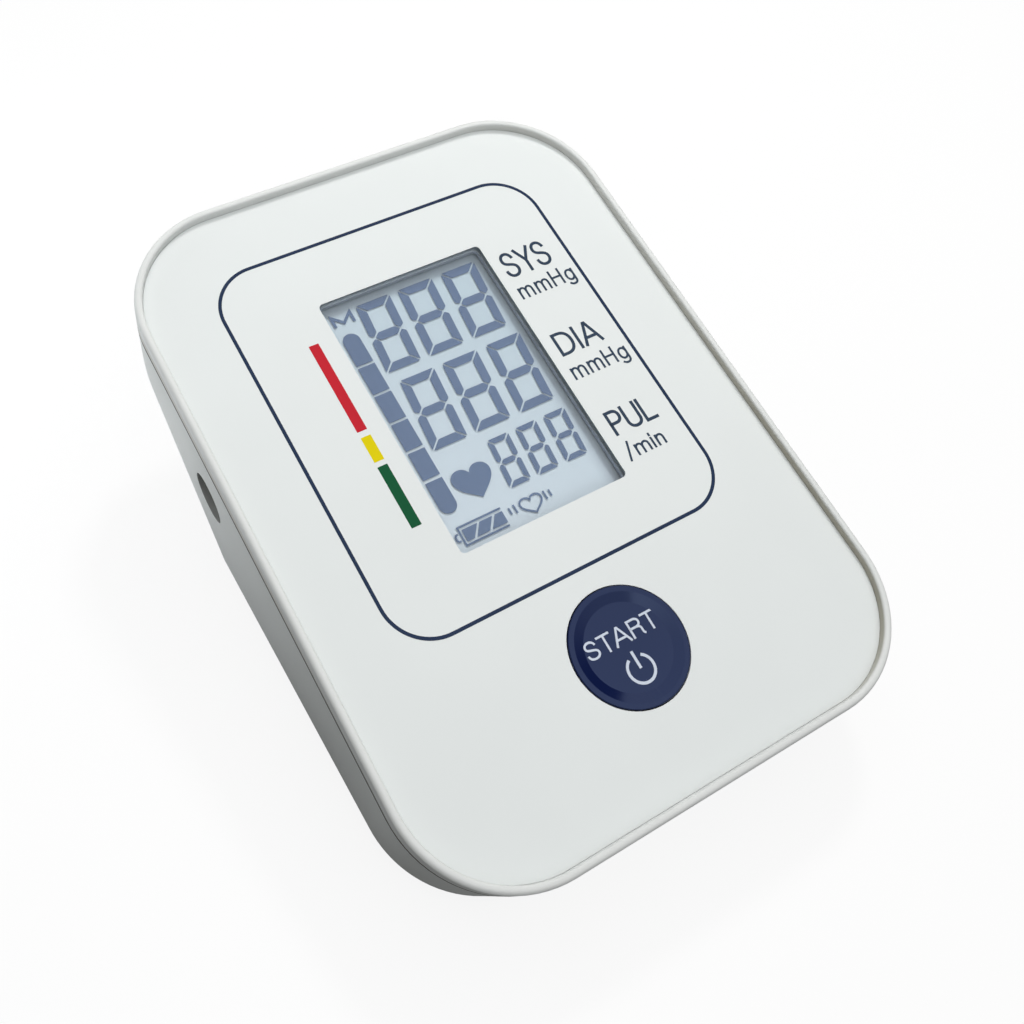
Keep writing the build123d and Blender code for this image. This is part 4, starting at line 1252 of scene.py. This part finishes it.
def changed(stroke: Stroke, to: Pair, scale: Pair = (1.0, 1.0), start: Pair = (0.0, 0.0)) -> Stroke:
    """Stretches a stroke and moves it.

    Args:
        stroke: the stroke.
        to: where the start goes.
        scale: how much it is stretched across and along.
        start: the place that stays where it is while the stroke is stretched.

    Returns:
        The changed stroke.
    """
    return tuple(
        tuple(to[i % 2] + (value - start[i % 2]) * scale[i % 2] for i, value in enumerate(step)) for step in stroke
    )


def fitted(stroke: Stroke, box: Box2) -> Stroke:
    """Stretches a stroke that is drawn on a unit square over a box in millimetres."""
    left, right, front, rear = box
    return changed(stroke, (left, front), (right - left, rear - front))


@dataclass(frozen=True)
class Word:
    """A word in pen strokes that fills a box on the face."""

    text: str
    box: Box2
    line: float
    gap: float = 0.2

    def strokes(self) -> list[Stroke]:
        """Sets the letters in a row and stretches them so that their ink fills the box.

        Returns:
            The strokes, in millimetres.
        """
        placed: list[Stroke] = []
        start = 0.0
        for before, letter in zip(" " + self.text, self.text):
            glyph = GLYPHS[letter]
            start += KERNING.get(before + letter, 0.0)
            placed += [changed(stroke, (start, 0.0)) for stroke in glyph.strokes]
            start += glyph.width + self.gap
        spots = [step[-2:] for stroke in placed for step in stroke]
        low = min(x for x, _ in spots), min(y for _, y in spots)
        high = max(x for x, _ in spots), max(y for _, y in spots)
        left, right, front, rear = self.box
        scale = (right - left - self.line) / (high[0] - low[0]), (rear - front - self.line) / (high[1] - low[1])
        corner = left + self.line / 2, front + self.line / 2
        return [self.square_ends(changed(stroke, corner, scale, low)) for stroke in placed]

    def square_ends(self, stroke: Stroke) -> Stroke:
        """Lengthens an open stroke by half its width at both ends, as a square pen leaves it.

        Args:
            stroke: the stroke.

        Returns:
            The longer stroke, or the same one if it is closed.
        """
        if stroke[0] == stroke[-1][-2:]:
            return stroke
        first, last = Vector(stroke[0]), Vector(stroke[-1][-2:])
        second, before = Vector(stroke[1][:2]), Vector((*stroke[-2][-2:], *stroke[-1])[-4:-2])
        first += (first - second).normalized() * self.line / 2
        last += (last - before).normalized() * self.line / 2
        return (tuple(first), *stroke[1:-1], (*stroke[-1][:-2], *last))

    def draw(self, name: str, ink: float) -> Piece:
        """Draws the word as ink standing on the face."""
        return Bench.pen(name, self.strokes(), self.line, ink)


# ---- printed face
@dataclass(frozen=True)
class FacePrint:
    """Printed outline, coloured bars and plain labels on the face plate."""

    ring_half: Pair = (36.76, 41.51)
    ring_radius: float = 9.8
    ring_line: float = 0.7
    ring_middle: Pair = (-0.5, 14.4)
    ring_steps: int = 20
    ink: float = 0.03
    bars_across: Pair = (-24.54, -22.45)
    bar_radius: float = 0.08
    bar_steps: int = 3
    bars: tuple[tuple[str, Pair, Finish], ...] = (
        ("bar_red", (14.68, 34.87), RED_INK),
        ("bar_yellow", (7.88, 13.4), YELLOW_INK),
        ("bar_green", (-6.5, 6.8), GREEN_INK),
    )
    labels: tuple[tuple[str, Word], ...] = (
        ("label_systolic", Word("SYS", (20.8, 31.8, 32.6, 38.7), 0.66)),
        ("label_unit_upper", Word("mmHg", (20.7, 34.2, 26.1, 31.1), 0.46, 0.31)),
        ("label_diastolic", Word("DIA", (21.1, 31.4, 12.4, 17.8), 0.66, 0.26)),
        ("label_unit_lower", Word("mmHg", (20.7, 34.2, 5.7, 10.6), 0.46, 0.31)),
        ("label_pulse", Word("PUL", (21.4, 31.9, -7.1, -1.7), 0.66)),
        ("label_minute", Word("/min", (21.0, 30.2, -12.9, -8.7), 0.46, 0.28)),
    )

    def printed(self, name: str, box: Box2, radius: float, steps: int, finish: Finish, line: float = 0.0) -> None:
        """Prints a rectangle with rounded corners.

        Args:
            name: the print's name.
            box: left, right, front and rear, in millimetres.
            radius: radius of its corners.
            steps: sides of a corner.
            finish: its ink.
            line: width of its line, or 0 for a filled one.
        """
        flat = Bench.plane(name, box)
        Bench.round_corners(flat, radius, steps)
        if line:
            Bench.hollow(flat, line)
        Bench.lay(Bench.thicken(flat, self.ink), 0.0, "panel_grey", finish)

    def build(self) -> None:
        """Prints the outline round the display, the bars left of it and the labels right of it."""
        (x, y), (half_w, half_l) = self.ring_middle, self.ring_half
        ring = (x - half_w, x + half_w, y - half_l, y + half_l)
        self.printed("outline_print", ring, self.ring_radius, self.ring_steps, NAVY_INK, self.ring_line)
        for name, along, finish in self.bars:
            self.printed(name, (*self.bars_across, *along), self.bar_radius, self.bar_steps, finish)
        for name, word in self.labels:
            Bench.lay(word.draw(name, self.ink), 0.0, "panel_grey", LABEL_INK)


# ---- display
@dataclass(frozen=True)
class Row:
    """Three figures of the display in a row, with the width of their segments."""

    name: str
    along: Pair
    stroke: float
    columns: tuple[Pair, ...]


@dataclass(frozen=True)
class Display:
    """Display cell: a clear front glass, the dark cells just under it and a pale ground below them."""

    along: float = 13.8
    half: Pair = (20.85, 32.0)
    top: float = 2.4
    bottom: float = 4.4
    front_glass: float = 0.18
    edge: float = 1.0
    ground_depth: float = 2.86
    cell_depth: float = 2.62
    ink: float = 0.02
    gap: float = 0.36
    blunt: float = 0.35
    lean: float = 0.085
    corner: float = 0.2
    rows: tuple[Row, ...] = (
        Row("upper", (24.69, 40.8), 1.8, ((-12.25, -3.04), (-2.54, 6.96), (7.76, 17.27))),
        Row("middle", (6.18, 22.19), 1.8, ((-12.25, -3.04), (-2.54, 6.96), (7.76, 17.27))),
        Row("lower", (-6.83, 3.68), 1.12, ((-2.54, 3.26), (3.96, 9.77), (10.57, 16.57))),
    )
    column_across: Pair = (-17.05, -13.35)
    column_spans: tuple[Pair, ...] = (
        (28.39, 35.69), (21.59, 27.89), (14.88, 21.09), (8.28, 14.38), (1.58, 7.68), (-6.33, 0.88),
    )
    column_end: float = 0.495
    heart: Box2 = (-12.35, -3.9, -6.1, 0.72)
    heart_steps: int = 14
    small_heart: Box2 = (-2.7, 2.1, -13.1, -9.7)
    thin: float = 0.38
    waves: tuple[Pair, ...] = ((-5.0, 0.7), (-3.85, 0.92), (2.95, 0.92), (4.1, 0.7))
    waves_along: float = -10.85
    waves_lean: float = 0.03
    battery: Box2 = (-16.15, -6.45, -13.33, -9.23)
    nub: Stroke = ((-0.3, 0.72), (-0.9, 0.72, -1.0, 0.5, -1.0, 0.0), (-1.0, -0.5, -0.9, -0.72, -0.3, -0.72))
    charge: tuple[Box2, ...] = ((0.75, 2.3, 4.2, 0.75), (2.85, 5.7, 7.5, 4.7), (6.25, 9.7, 9.7, 8.1))
    charge_inset: Pair = (0.8, 0.85)
    memory: Word = Word("M", (-16.95, -12.15, 37.89, 40.6), 0.62)

    def cell(self) -> None:
        """Front glass and ground, which stand for the plain glass block."""
        across, length = self.half
        box = (-across, across, self.along - length, self.along + length)
        under = self.top + self.front_glass
        front = Bench.thicken(Bench.plane("display_front_glass", box), self.front_glass)
        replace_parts(Bench.lay(front, -under, "display_glass", CELL_GLASS), "lcd_glass")
        ground = Bench.thicken(Bench.plane("display_rear_glass", box), self.bottom - self.ground_depth)
        Bench.lay(ground, -self.bottom, "display_glass", GROUND)
        spacer = Bench.plane("display_cell_edge", box)
        Bench.hollow(spacer, self.edge)
        Bench.lay(Bench.thicken(spacer, self.ground_depth - under), -self.ground_depth, "display_glass", CELL_SEAL)

    def digit(self, name: str, box: Box2, stroke: float) -> Piece:
        """A figure of seven segments with mitred corners and blunt ends in the middle.

        Args:
            name: the object's name.
            box: its box on the face, in millimetres.
            stroke: width of a segment, with half a gap on each side.

        Returns:
            The flat figure.
        """
        left, right, front, rear = box
        height = rear - front + self.gap
        width = right - left + self.gap - self.lean * height
        t, half, middle = stroke + self.gap, (stroke + self.gap) / 2, height / 2
        blunt = middle + self.blunt * t
        upper_left = [(0, height), (t, height - t), (t, middle + half), (half, middle), (0, blunt)]
        upper = [(0, height), (width, height), (width - t, height - t), (t, height - t)]
        bar = [
            (half, middle), (t, middle + half), (width - t, middle + half), (width - half, middle),
            (width - t, middle - half), (t, middle - half),
        ]
        across = [[(width - x, y) for x, y in upper_left]]
        shapes = [upper_left, upper, bar, *across]
        shapes += [[(x, height - y) for x, y in shape] for shape in (upper_left, upper, *across)]
        corner = left - self.gap / 2, front - self.gap / 2
        spots = [(corner[0] + x + self.lean * y, corner[1] + y, 0.0) for shape in shapes for x, y in shape]
        sides, start = [], 0
        for shape in shapes:
            sides.append(tuple(range(start, start + len(shape))))
            start += len(shape)
        figure = Bench.mesh(name, spots, faces=sides)
        with Bench.editing(figure):
            bpy.ops.mesh.normals_make_consistent(inside=False)
            bpy.ops.mesh.inset(thickness=self.gap / 2 * MM, use_individual=True, use_even_offset=True)
            bpy.ops.mesh.select_all(action="INVERT")
            bpy.ops.mesh.delete(type="FACE")
            bpy.ops.mesh.select_all(action="SELECT")
            bpy.ops.mesh.bevel(offset=self.corner * MM, segments=3, affect="VERTICES")
        return figure

    def figures(self) -> list[Piece]:
        """Makes the three rows of figures.

        Returns:
            A flat piece for each row.
        """
        made = []
        for row in self.rows:
            digits = [
                self.digit(f"figure_{row.name}_{i}", (*across, *row.along), row.stroke)
                for i, across in enumerate(row.columns)
            ]
            made.append(Bench.join(f"figures_{row.name}", digits))
        return made

    def column(self) -> Piece:
        """Makes the six blocks of the level column, with a round top and bottom.

        Returns:
            The flat column.
        """
        left, right = self.column_across
        blocks = [
            Bench.plane(f"level_{i}", (left, right, *along)) for i, along in enumerate(self.column_spans)
        ]
        for block, limit in ((blocks[0], self.column_spans[0][1]), (blocks[-1], self.column_spans[-1][0])):
            with Bench.editing(block, Pick.POINTS):
                mesh = bmesh.from_edit_mesh(block.data)
                for vertex in mesh.verts:
                    vertex.select_set(math.isclose(vertex.co.y, limit * MM, abs_tol=WELD * MM))
                mesh.select_flush_mode()
                bmesh.update_edit_mesh(block.data)
                bpy.ops.mesh.bevel(offset=(right - left) * self.column_end * MM, segments=10, affect="VERTICES")
        return Bench.join("level_column", blocks)

    def hearts(self) -> list[Piece]:
        """Makes the filled heart, and the small open one between its beat marks.

        Returns:
            The two marks.
        """
        bends = fitted(HEART, self.heart)
        spots: list[Pair] = []
        for start, step in zip(bends, bends[1:]):
            knots = [Vector((*spot, 0.0)) for spot in (start[-2:], step[:2], step[2:4], step[4:])]
            spots += [(spot.x, spot.y) for spot in interpolate_bezier(*knots, self.heart_steps)[:-1]]
        lean, along = self.waves_lean, self.waves_along
        beats = [((x + lean * half, along - half), (x - lean * half, along + half)) for x, half in self.waves]
        return [
            Bench.outline("heart_full", spots, self.ink),
            Bench.pen("heart_beating", [fitted(HEART, self.small_heart), *beats], self.thin, self.ink),
        ]

    def battery_icon(self) -> Piece:
        """Makes the battery symbol: a case that is open at the right, three leaning charges and a small nub.

        Returns:
            The symbol.
        """
        left, right, front, rear = self.battery
        half, middle = self.thin / 2, (front + rear) / 2
        case = ((right, rear - half), (left + half, rear - half), (left + half, front + half), (right, front + half))
        nub = changed(self.nub, (left, middle))
        parts = [Bench.pen("battery_case", [case, nub], self.thin, self.ink)]
        low, high = front + self.charge_inset[0], rear - self.charge_inset[1]
        for i, (first, second, third, fourth) in enumerate(self.charge):
            corners = [(left + first, low), (left + second, low), (left + third, high), (left + fourth, high)]
            parts.append(Bench.outline(f"charge_{i}", corners, self.ink))
        return Bench.join("battery_symbol", parts)

    def build(self) -> None:
        """Builds the display."""
        self.cell()
        flat = [Bench.thicken(mark, self.ink) for mark in (*self.figures(), self.column())]
        for mark in (*flat, *self.hearts(), self.battery_icon(), self.memory.draw("memory_letter", self.ink)):
            Bench.lay(mark, -self.cell_depth, "display_glass", SEGMENT)


# ---- button marks
@dataclass(frozen=True)
class ButtonMarks:
    """The word and the power sign printed in the button's dish."""

    dish: float = -0.25
    ink: float = 0.03
    word: Word = Word("START", (-7.85, 7.75, -42.35, -38.85), 0.42, 0.19)
    sign_at: Pair = (-0.1, -47.35)
    sign_radius: float = 2.6
    sign_line: float = 0.55
    sign_bar: Pair = (0.1, 0.85)
    opening: float = 30.0

    def sign_strokes(self) -> list[Stroke]:
        """Draws a ring that is open at the top, as four curves, and a stroke through the opening.

        Returns:
            The two strokes.
        """
        x, y = self.sign_at
        radius = self.sign_radius
        start, sweep = 90.0 + self.opening, (360.0 - 2 * self.opening) / 4
        reach = 4 / 3 * math.tan(math.radians(sweep) / 4) * radius
        ring: list[tuple[float, ...]] = []
        for i in range(5):
            angle = math.radians(start + i * sweep)
            spot = Vector((x + radius * math.cos(angle), y + radius * math.sin(angle)))
            way = Vector((-math.sin(angle), math.cos(angle))) * reach
            if i == 0:
                ring.append((spot.x, spot.y))
            else:
                ring.append((handle.x, handle.y, spot.x - way.x, spot.y - way.y, spot.x, spot.y))
            handle = spot + way
        low, past = self.sign_bar
        return [tuple(ring), ((x, y + low), (x, y + radius + past))]

    def build(self) -> None:
        """Prints the button."""
        word = self.word.draw("start_word", self.ink)
        sign = Bench.pen("power_sign", self.sign_strokes(), self.sign_line, self.ink)
        for mark in (word, sign):
            Bench.lay(mark, self.dish, "button_blue", BUTTON_INK, Body.BUTTON)


# ---- circuit board
@dataclass(frozen=True)
class BoardDetails:
    """Legs of the two chips and tinned joints on the board's underside, in face coordinates."""

    under: float = -9.3
    controller: Box2 = (0.0, -6.0, 12.0, 12.0)
    analog: Box2 = (14.0, -6.0, 7.0, 9.0)
    pitch: float = 0.9
    chip_corner: float = 1.2
    tucked: float = 0.25
    leg: Pair = (0.4, 1.1)
    leg_metal: float = 0.16
    leg_edge: float = 0.04
    joint: tuple[Pair, ...] = (
        (0.0, 0.05), (0.95, 0.05), (0.9, -0.12), (0.5, -0.3), (0.34, -0.62), (0.3, -1.0), (0.0, -1.05),
    )
    joint_sides: int = 14
    joints: tuple[Pair, ...] = (
        (-14.0, -20.0), (-11.5, -20.0), (-9.0, -20.0), (12.0, 24.0), (14.5, 24.0), (17.0, 24.0), (6.0, -30.0),
        (8.5, -30.0), (11.0, -30.0), (13.5, -30.0), (-3.2, -46.5), (3.2, -46.5), (-3.2, -39.5), (3.2, -39.5),
    )

    def leg_shape(self, name: str) -> Piece:
        """Makes one leg: a flat foot on the board, a shoulder at the chip and a bend between them.

        Args:
            name: the object's name.

        Returns:
            The leg.
        """
        (width, length), metal = self.leg, self.leg_metal
        parts = (
            ("", length * 0.7, -0.08, length * 0.6, metal),
            ("_shoulder", length * 0.25, -0.42, length * 0.5, metal),
            ("_bend", length * 0.45, -0.25, metal, 0.46),
        )
        blocks = [
            Bench.block(name + end, (0.0, along, up), (width, deep, high), self.leg_edge)
            for end, along, up, deep, high in parts
        ]
        return Bench.join(name, blocks)

    def legs(self, name: str, chip: Box2, sides: Iterable[int]) -> None:
        """Makes the rows of legs round a chip.

        Args:
            name: the object's name.
            chip: the chip's middle across and along, and its sides.
            sides: the sides that have legs, in quarter turns from the rear.
        """
        x, y, *size = chip
        pattern = self.leg_shape(name + "_pattern")
        made = []
        for side in sides:
            wide, deep = size if side % 2 == 0 else size[::-1]
            count = int((wide - self.chip_corner) / self.pitch) + 1
            turn = Matrix.Rotation(side * math.pi / 2, 4, "Z")
            for i in range(count):
                shift = ((i - (count - 1) / 2) * self.pitch, deep / 2 - self.tucked, 0.0)
                leg = Bench.copy(pattern, f"{name}_{side}_{i}", shift)
                leg.data.transform(Matrix.Translation((x * MM, y * MM, 0.0)) @ turn)
                made.append(leg)
        bpy.data.objects.remove(pattern)
        Bench.lay(Bench.join(name, made), self.under, "board_green", SOLDER)

    def build(self) -> None:
        """Builds the legs and the joints, which are small cones with a cut wire in the middle."""
        self.legs("controller_legs", self.controller, range(4))
        self.legs("analog_legs", self.analog, (1, 3))
        pattern = Bench.turned("joint_pattern", self.joint, self.joint_sides)
        made = [Bench.copy(pattern, f"joint_{i}", (x, y, 0.0)) for i, (x, y) in enumerate(self.joints)]
        bpy.data.objects.remove(pattern)
        Bench.lay(Bench.join("board_joints", made), self.under, "board_green", SOLDER, angle=50.0)


# ---- cover mark
@dataclass(frozen=True)
class CoverMark:
    """Raised arrow on the battery cover that shows which way it slides off."""

    from_front: float = 27.0
    length: float = 7.0
    head: float = 2.6
    line: float = 0.7
    relief: float = 0.12
    behind_tip: float = 0.3
    proud: float = 0.9

    def build(self) -> None:
        """Builds the arrow on the cover's outer face."""
        low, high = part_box("battery_cover")
        x = (low.x + high.x) / 2 / MM
        tip = low.y / MM + self.from_front + self.length
        strokes = [
            ((x, tip - self.length), (x, tip - self.behind_tip)),
            ((x - self.head, tip - self.head), (x, tip), (x + self.head, tip - self.head)),
        ]
        arrow = Bench.pen("cover_arrow", strokes, self.line, self.relief)
        arrow.data.transform(Matrix.Translation((0.0, 0.0, low.z - self.relief * MM * self.proud)))
        Bench.finish(arrow, Body.COVER, "shell_white", COVER)


# ---- solids
@dataclass(frozen=True)
class Cell:
    """One battery cell: a dark sleeve, a coloured shoulder at its nub and bare ends."""

    name: str
    sleeve: Colour = linear(44, 48, 56)
    shoulder_tone: Colour = linear(168, 120, 58)
    shoulder: float = 16.0
    bare_in: float = 1.5
    bare_out: float = 1.0

    def finish(self) -> Finish:
        """Works out the cell's bands from its place.

        Returns:
            The finish of this cell.
        """
        low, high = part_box(self.name)
        number = int(self.name.rsplit("_", 1)[1])
        front, rear = low.y / MM, high.y / MM
        band = (rear - self.shoulder, rear) if number % 2 else (front, front + self.shoulder)
        return Banded(
            f"cell_sleeve_{number}", self.sleeve, roughness=0.3, spread=0.08, grain=900, relief=0.004, coat=0.2,
            bands=((*band, self.shoulder_tone),),
            bare=((front - self.bare_out, front + self.bare_in), (rear - self.bare_in, rear + self.bare_out)),
        )


def dress(nodes: dict[str, Piece]) -> None:
    """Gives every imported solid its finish.

    Args:
        nodes: the solids by their node's name.
    """
    for name, solid in nodes.items():
        finish = FINISHES[name] if name in FINISHES else Cell(name).finish()
        for holder in solid.material_slots:
            holder.material = finish.build()
        LOG.info("%s: %s", name, finish.name)


# ---- studio
@dataclass(frozen=True)
class Lamp:
    """A round soft lamp that points at the unit: place from its middle and diameter in metres, and brightness."""

    name: str
    place: Triple
    size: float
    level: float
    colour: Colour = (1.0, 0.995, 0.985)
    mirrored: bool = False


@dataclass(frozen=True)
class Studio:
    """Floor, lamps, world and camera."""

    eye: Triple = (-80.661, -83.091, 189.623)
    right: Triple = (0.87143, -0.48927, 0.03487)
    up: Triple = (0.39403, 0.74059, 0.54430)
    lens: float = 34.889
    sensor: float = 36.0
    shift: Pair = (0.1314, -0.0082)
    clip: Pair = (0.01, 20.0)
    middle: Triple = (0.0, 0.0, 0.03)
    floor_size: float = 6.0
    floor_drop: float = 0.0001
    floor_seen: Colour = (0.93, 0.93, 0.93)
    # Painted shadow: the floor's front tone for bounced light is dark, where the unit's shadow would lie.
    floor_front: Colour = (0.11, 0.11, 0.105)
    floor_rear: Colour = (0.90, 0.92, 0.93)
    floor_change: Pair = (-0.03, 0.06)
    floor_glow: float = 0.86
    room_tint: tuple[float, ...] = (0.97, 0.985, 1.0, 1.0)
    room_ahead: Pair = (0.0, -0.8)
    room_above: Pair = (0.0, 0.6)
    room_level: Pair = (0.09, 0.9)
    lamps: tuple[Lamp, ...] = (
        Lamp("overhead", (0.10, 0.08, 0.85), 1.4, 1.1, mirrored=True),
        Lamp("key", (0.18, 0.21, 0.40), 0.076, 57.0),
        Lamp("side", (-0.16, 0.17, 0.07), 0.1, 3.7, (0.92, 0.97, 1.0)),
    )

    def camera(self) -> None:
        """Camera at the eye, looking as the axes say."""
        data = bpy.data.cameras.new("camera")
        data.lens = self.lens
        data.sensor_width = self.sensor
        data.shift_x, data.shift_y = self.shift
        data.clip_start, data.clip_end = self.clip
        right, up = Vector(self.right).normalized(), Vector(self.up).normalized()
        turn = Matrix((right, up, right.cross(up))).transposed().to_4x4()
        camera = Bench.new("camera", data)
        camera.matrix_world = Matrix.Translation(Vector(self.eye) * MM) @ turn
        bpy.context.scene.camera = camera

    def hang(self, lamp: Lamp) -> None:
        """Adds a lamp, whose brightness of 1 is a white wall in full light.

        Args:
            lamp: the lamp.
        """
        data = bpy.data.lights.new(lamp.name, "AREA")
        data.shape = "DISK"
        data.size = lamp.size
        data.energy = lamp.level * math.pi * math.pi * lamp.size * lamp.size / 4
        data.color = lamp.colour
        hung = Bench.new(lamp.name, data)
        turn = (-Vector(lamp.place)).to_track_quat("-Z", "Y").to_matrix().to_4x4()
        hung.matrix_world = Matrix.Translation(Vector(self.middle) + Vector(lamp.place)) @ turn
        hung.visible_glossy = lamp.mirrored
        hung.visible_camera = False

    def floor(self) -> None:
        """Wide pale floor that shows nearly white and keeps the shadow; it throws less light up at the front."""
        Bench.clear()
        bpy.ops.mesh.primitive_plane_add(size=self.floor_size, location=(0.0, 0.0, -self.floor_drop))
        floor = bpy.context.object
        floor.name = "floor"
        made = bpy.data.materials.new("floor_white")
        made.use_nodes = True
        made.node_tree.nodes.clear()
        graph = Graph(made.node_tree)
        seen = graph.add("LightPath").outputs["Is Camera Ray"]
        to_rear = graph.ramp(graph.apart(graph.place())[1], *self.floor_change)
        # Painted shadow in the light that the floor throws up at the front.
        thrown = graph.mix(to_rear, self.floor_front, self.floor_rear)
        matt = graph.add("BsdfDiffuse", Color=graph.mix(seen, thrown, self.floor_seen))
        glow = graph.add("Emission", Strength=1.0)
        graph.add("OutputMaterial", Surface=graph.blend(graph.times(seen, self.floor_glow), matt, glow))
        floor.data.materials.append(made)

    def world(self) -> None:
        """Dim surroundings, brighter in front of the unit and dark at its left; white to the camera."""
        world = bpy.data.worlds.new("surroundings")
        bpy.context.scene.world = world
        world.use_nodes = True
        world.node_tree.nodes.clear()
        graph = Graph(world.node_tree)
        way = graph.apart(graph.add("TexCoord").outputs["Generated"])
        ahead = graph.times(graph.ramp(way[1], *self.room_ahead), graph.ramp(way[2], *self.room_above))
        least, more = self.room_level
        level = graph.math("MULTIPLY_ADD", ahead, more, least)
        ambient = graph.add("Background", Color=self.room_tint, Strength=level)
        white = graph.add("Background", Color=(1.0, 1.0, 1.0, 1.0), Strength=1.0)
        seen = graph.add("LightPath").outputs["Is Camera Ray"]
        graph.add("OutputWorld", Surface=graph.blend(seen, ambient, white))

    def build(self) -> None:
        """Sets up the studio."""
        bpy.context.scene.view_settings.view_transform = "Standard"
        self.camera()
        self.floor()
        self.world()
        for lamp in self.lamps:
            self.hang(lamp)


def main() -> None:
    """Builds the visual model in order."""
    logging.basicConfig(level=logging.INFO, format="%(name)s: %(message)s")
    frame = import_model()
    Studio().build()
    dress(frame["nodes"])
    for assembly in (FacePrint(), Display(), ButtonMarks(), BoardDetails(), CoverMark()):
        assembly.build()
    Bench.clear()


if __name__ == "__main__":
    main()
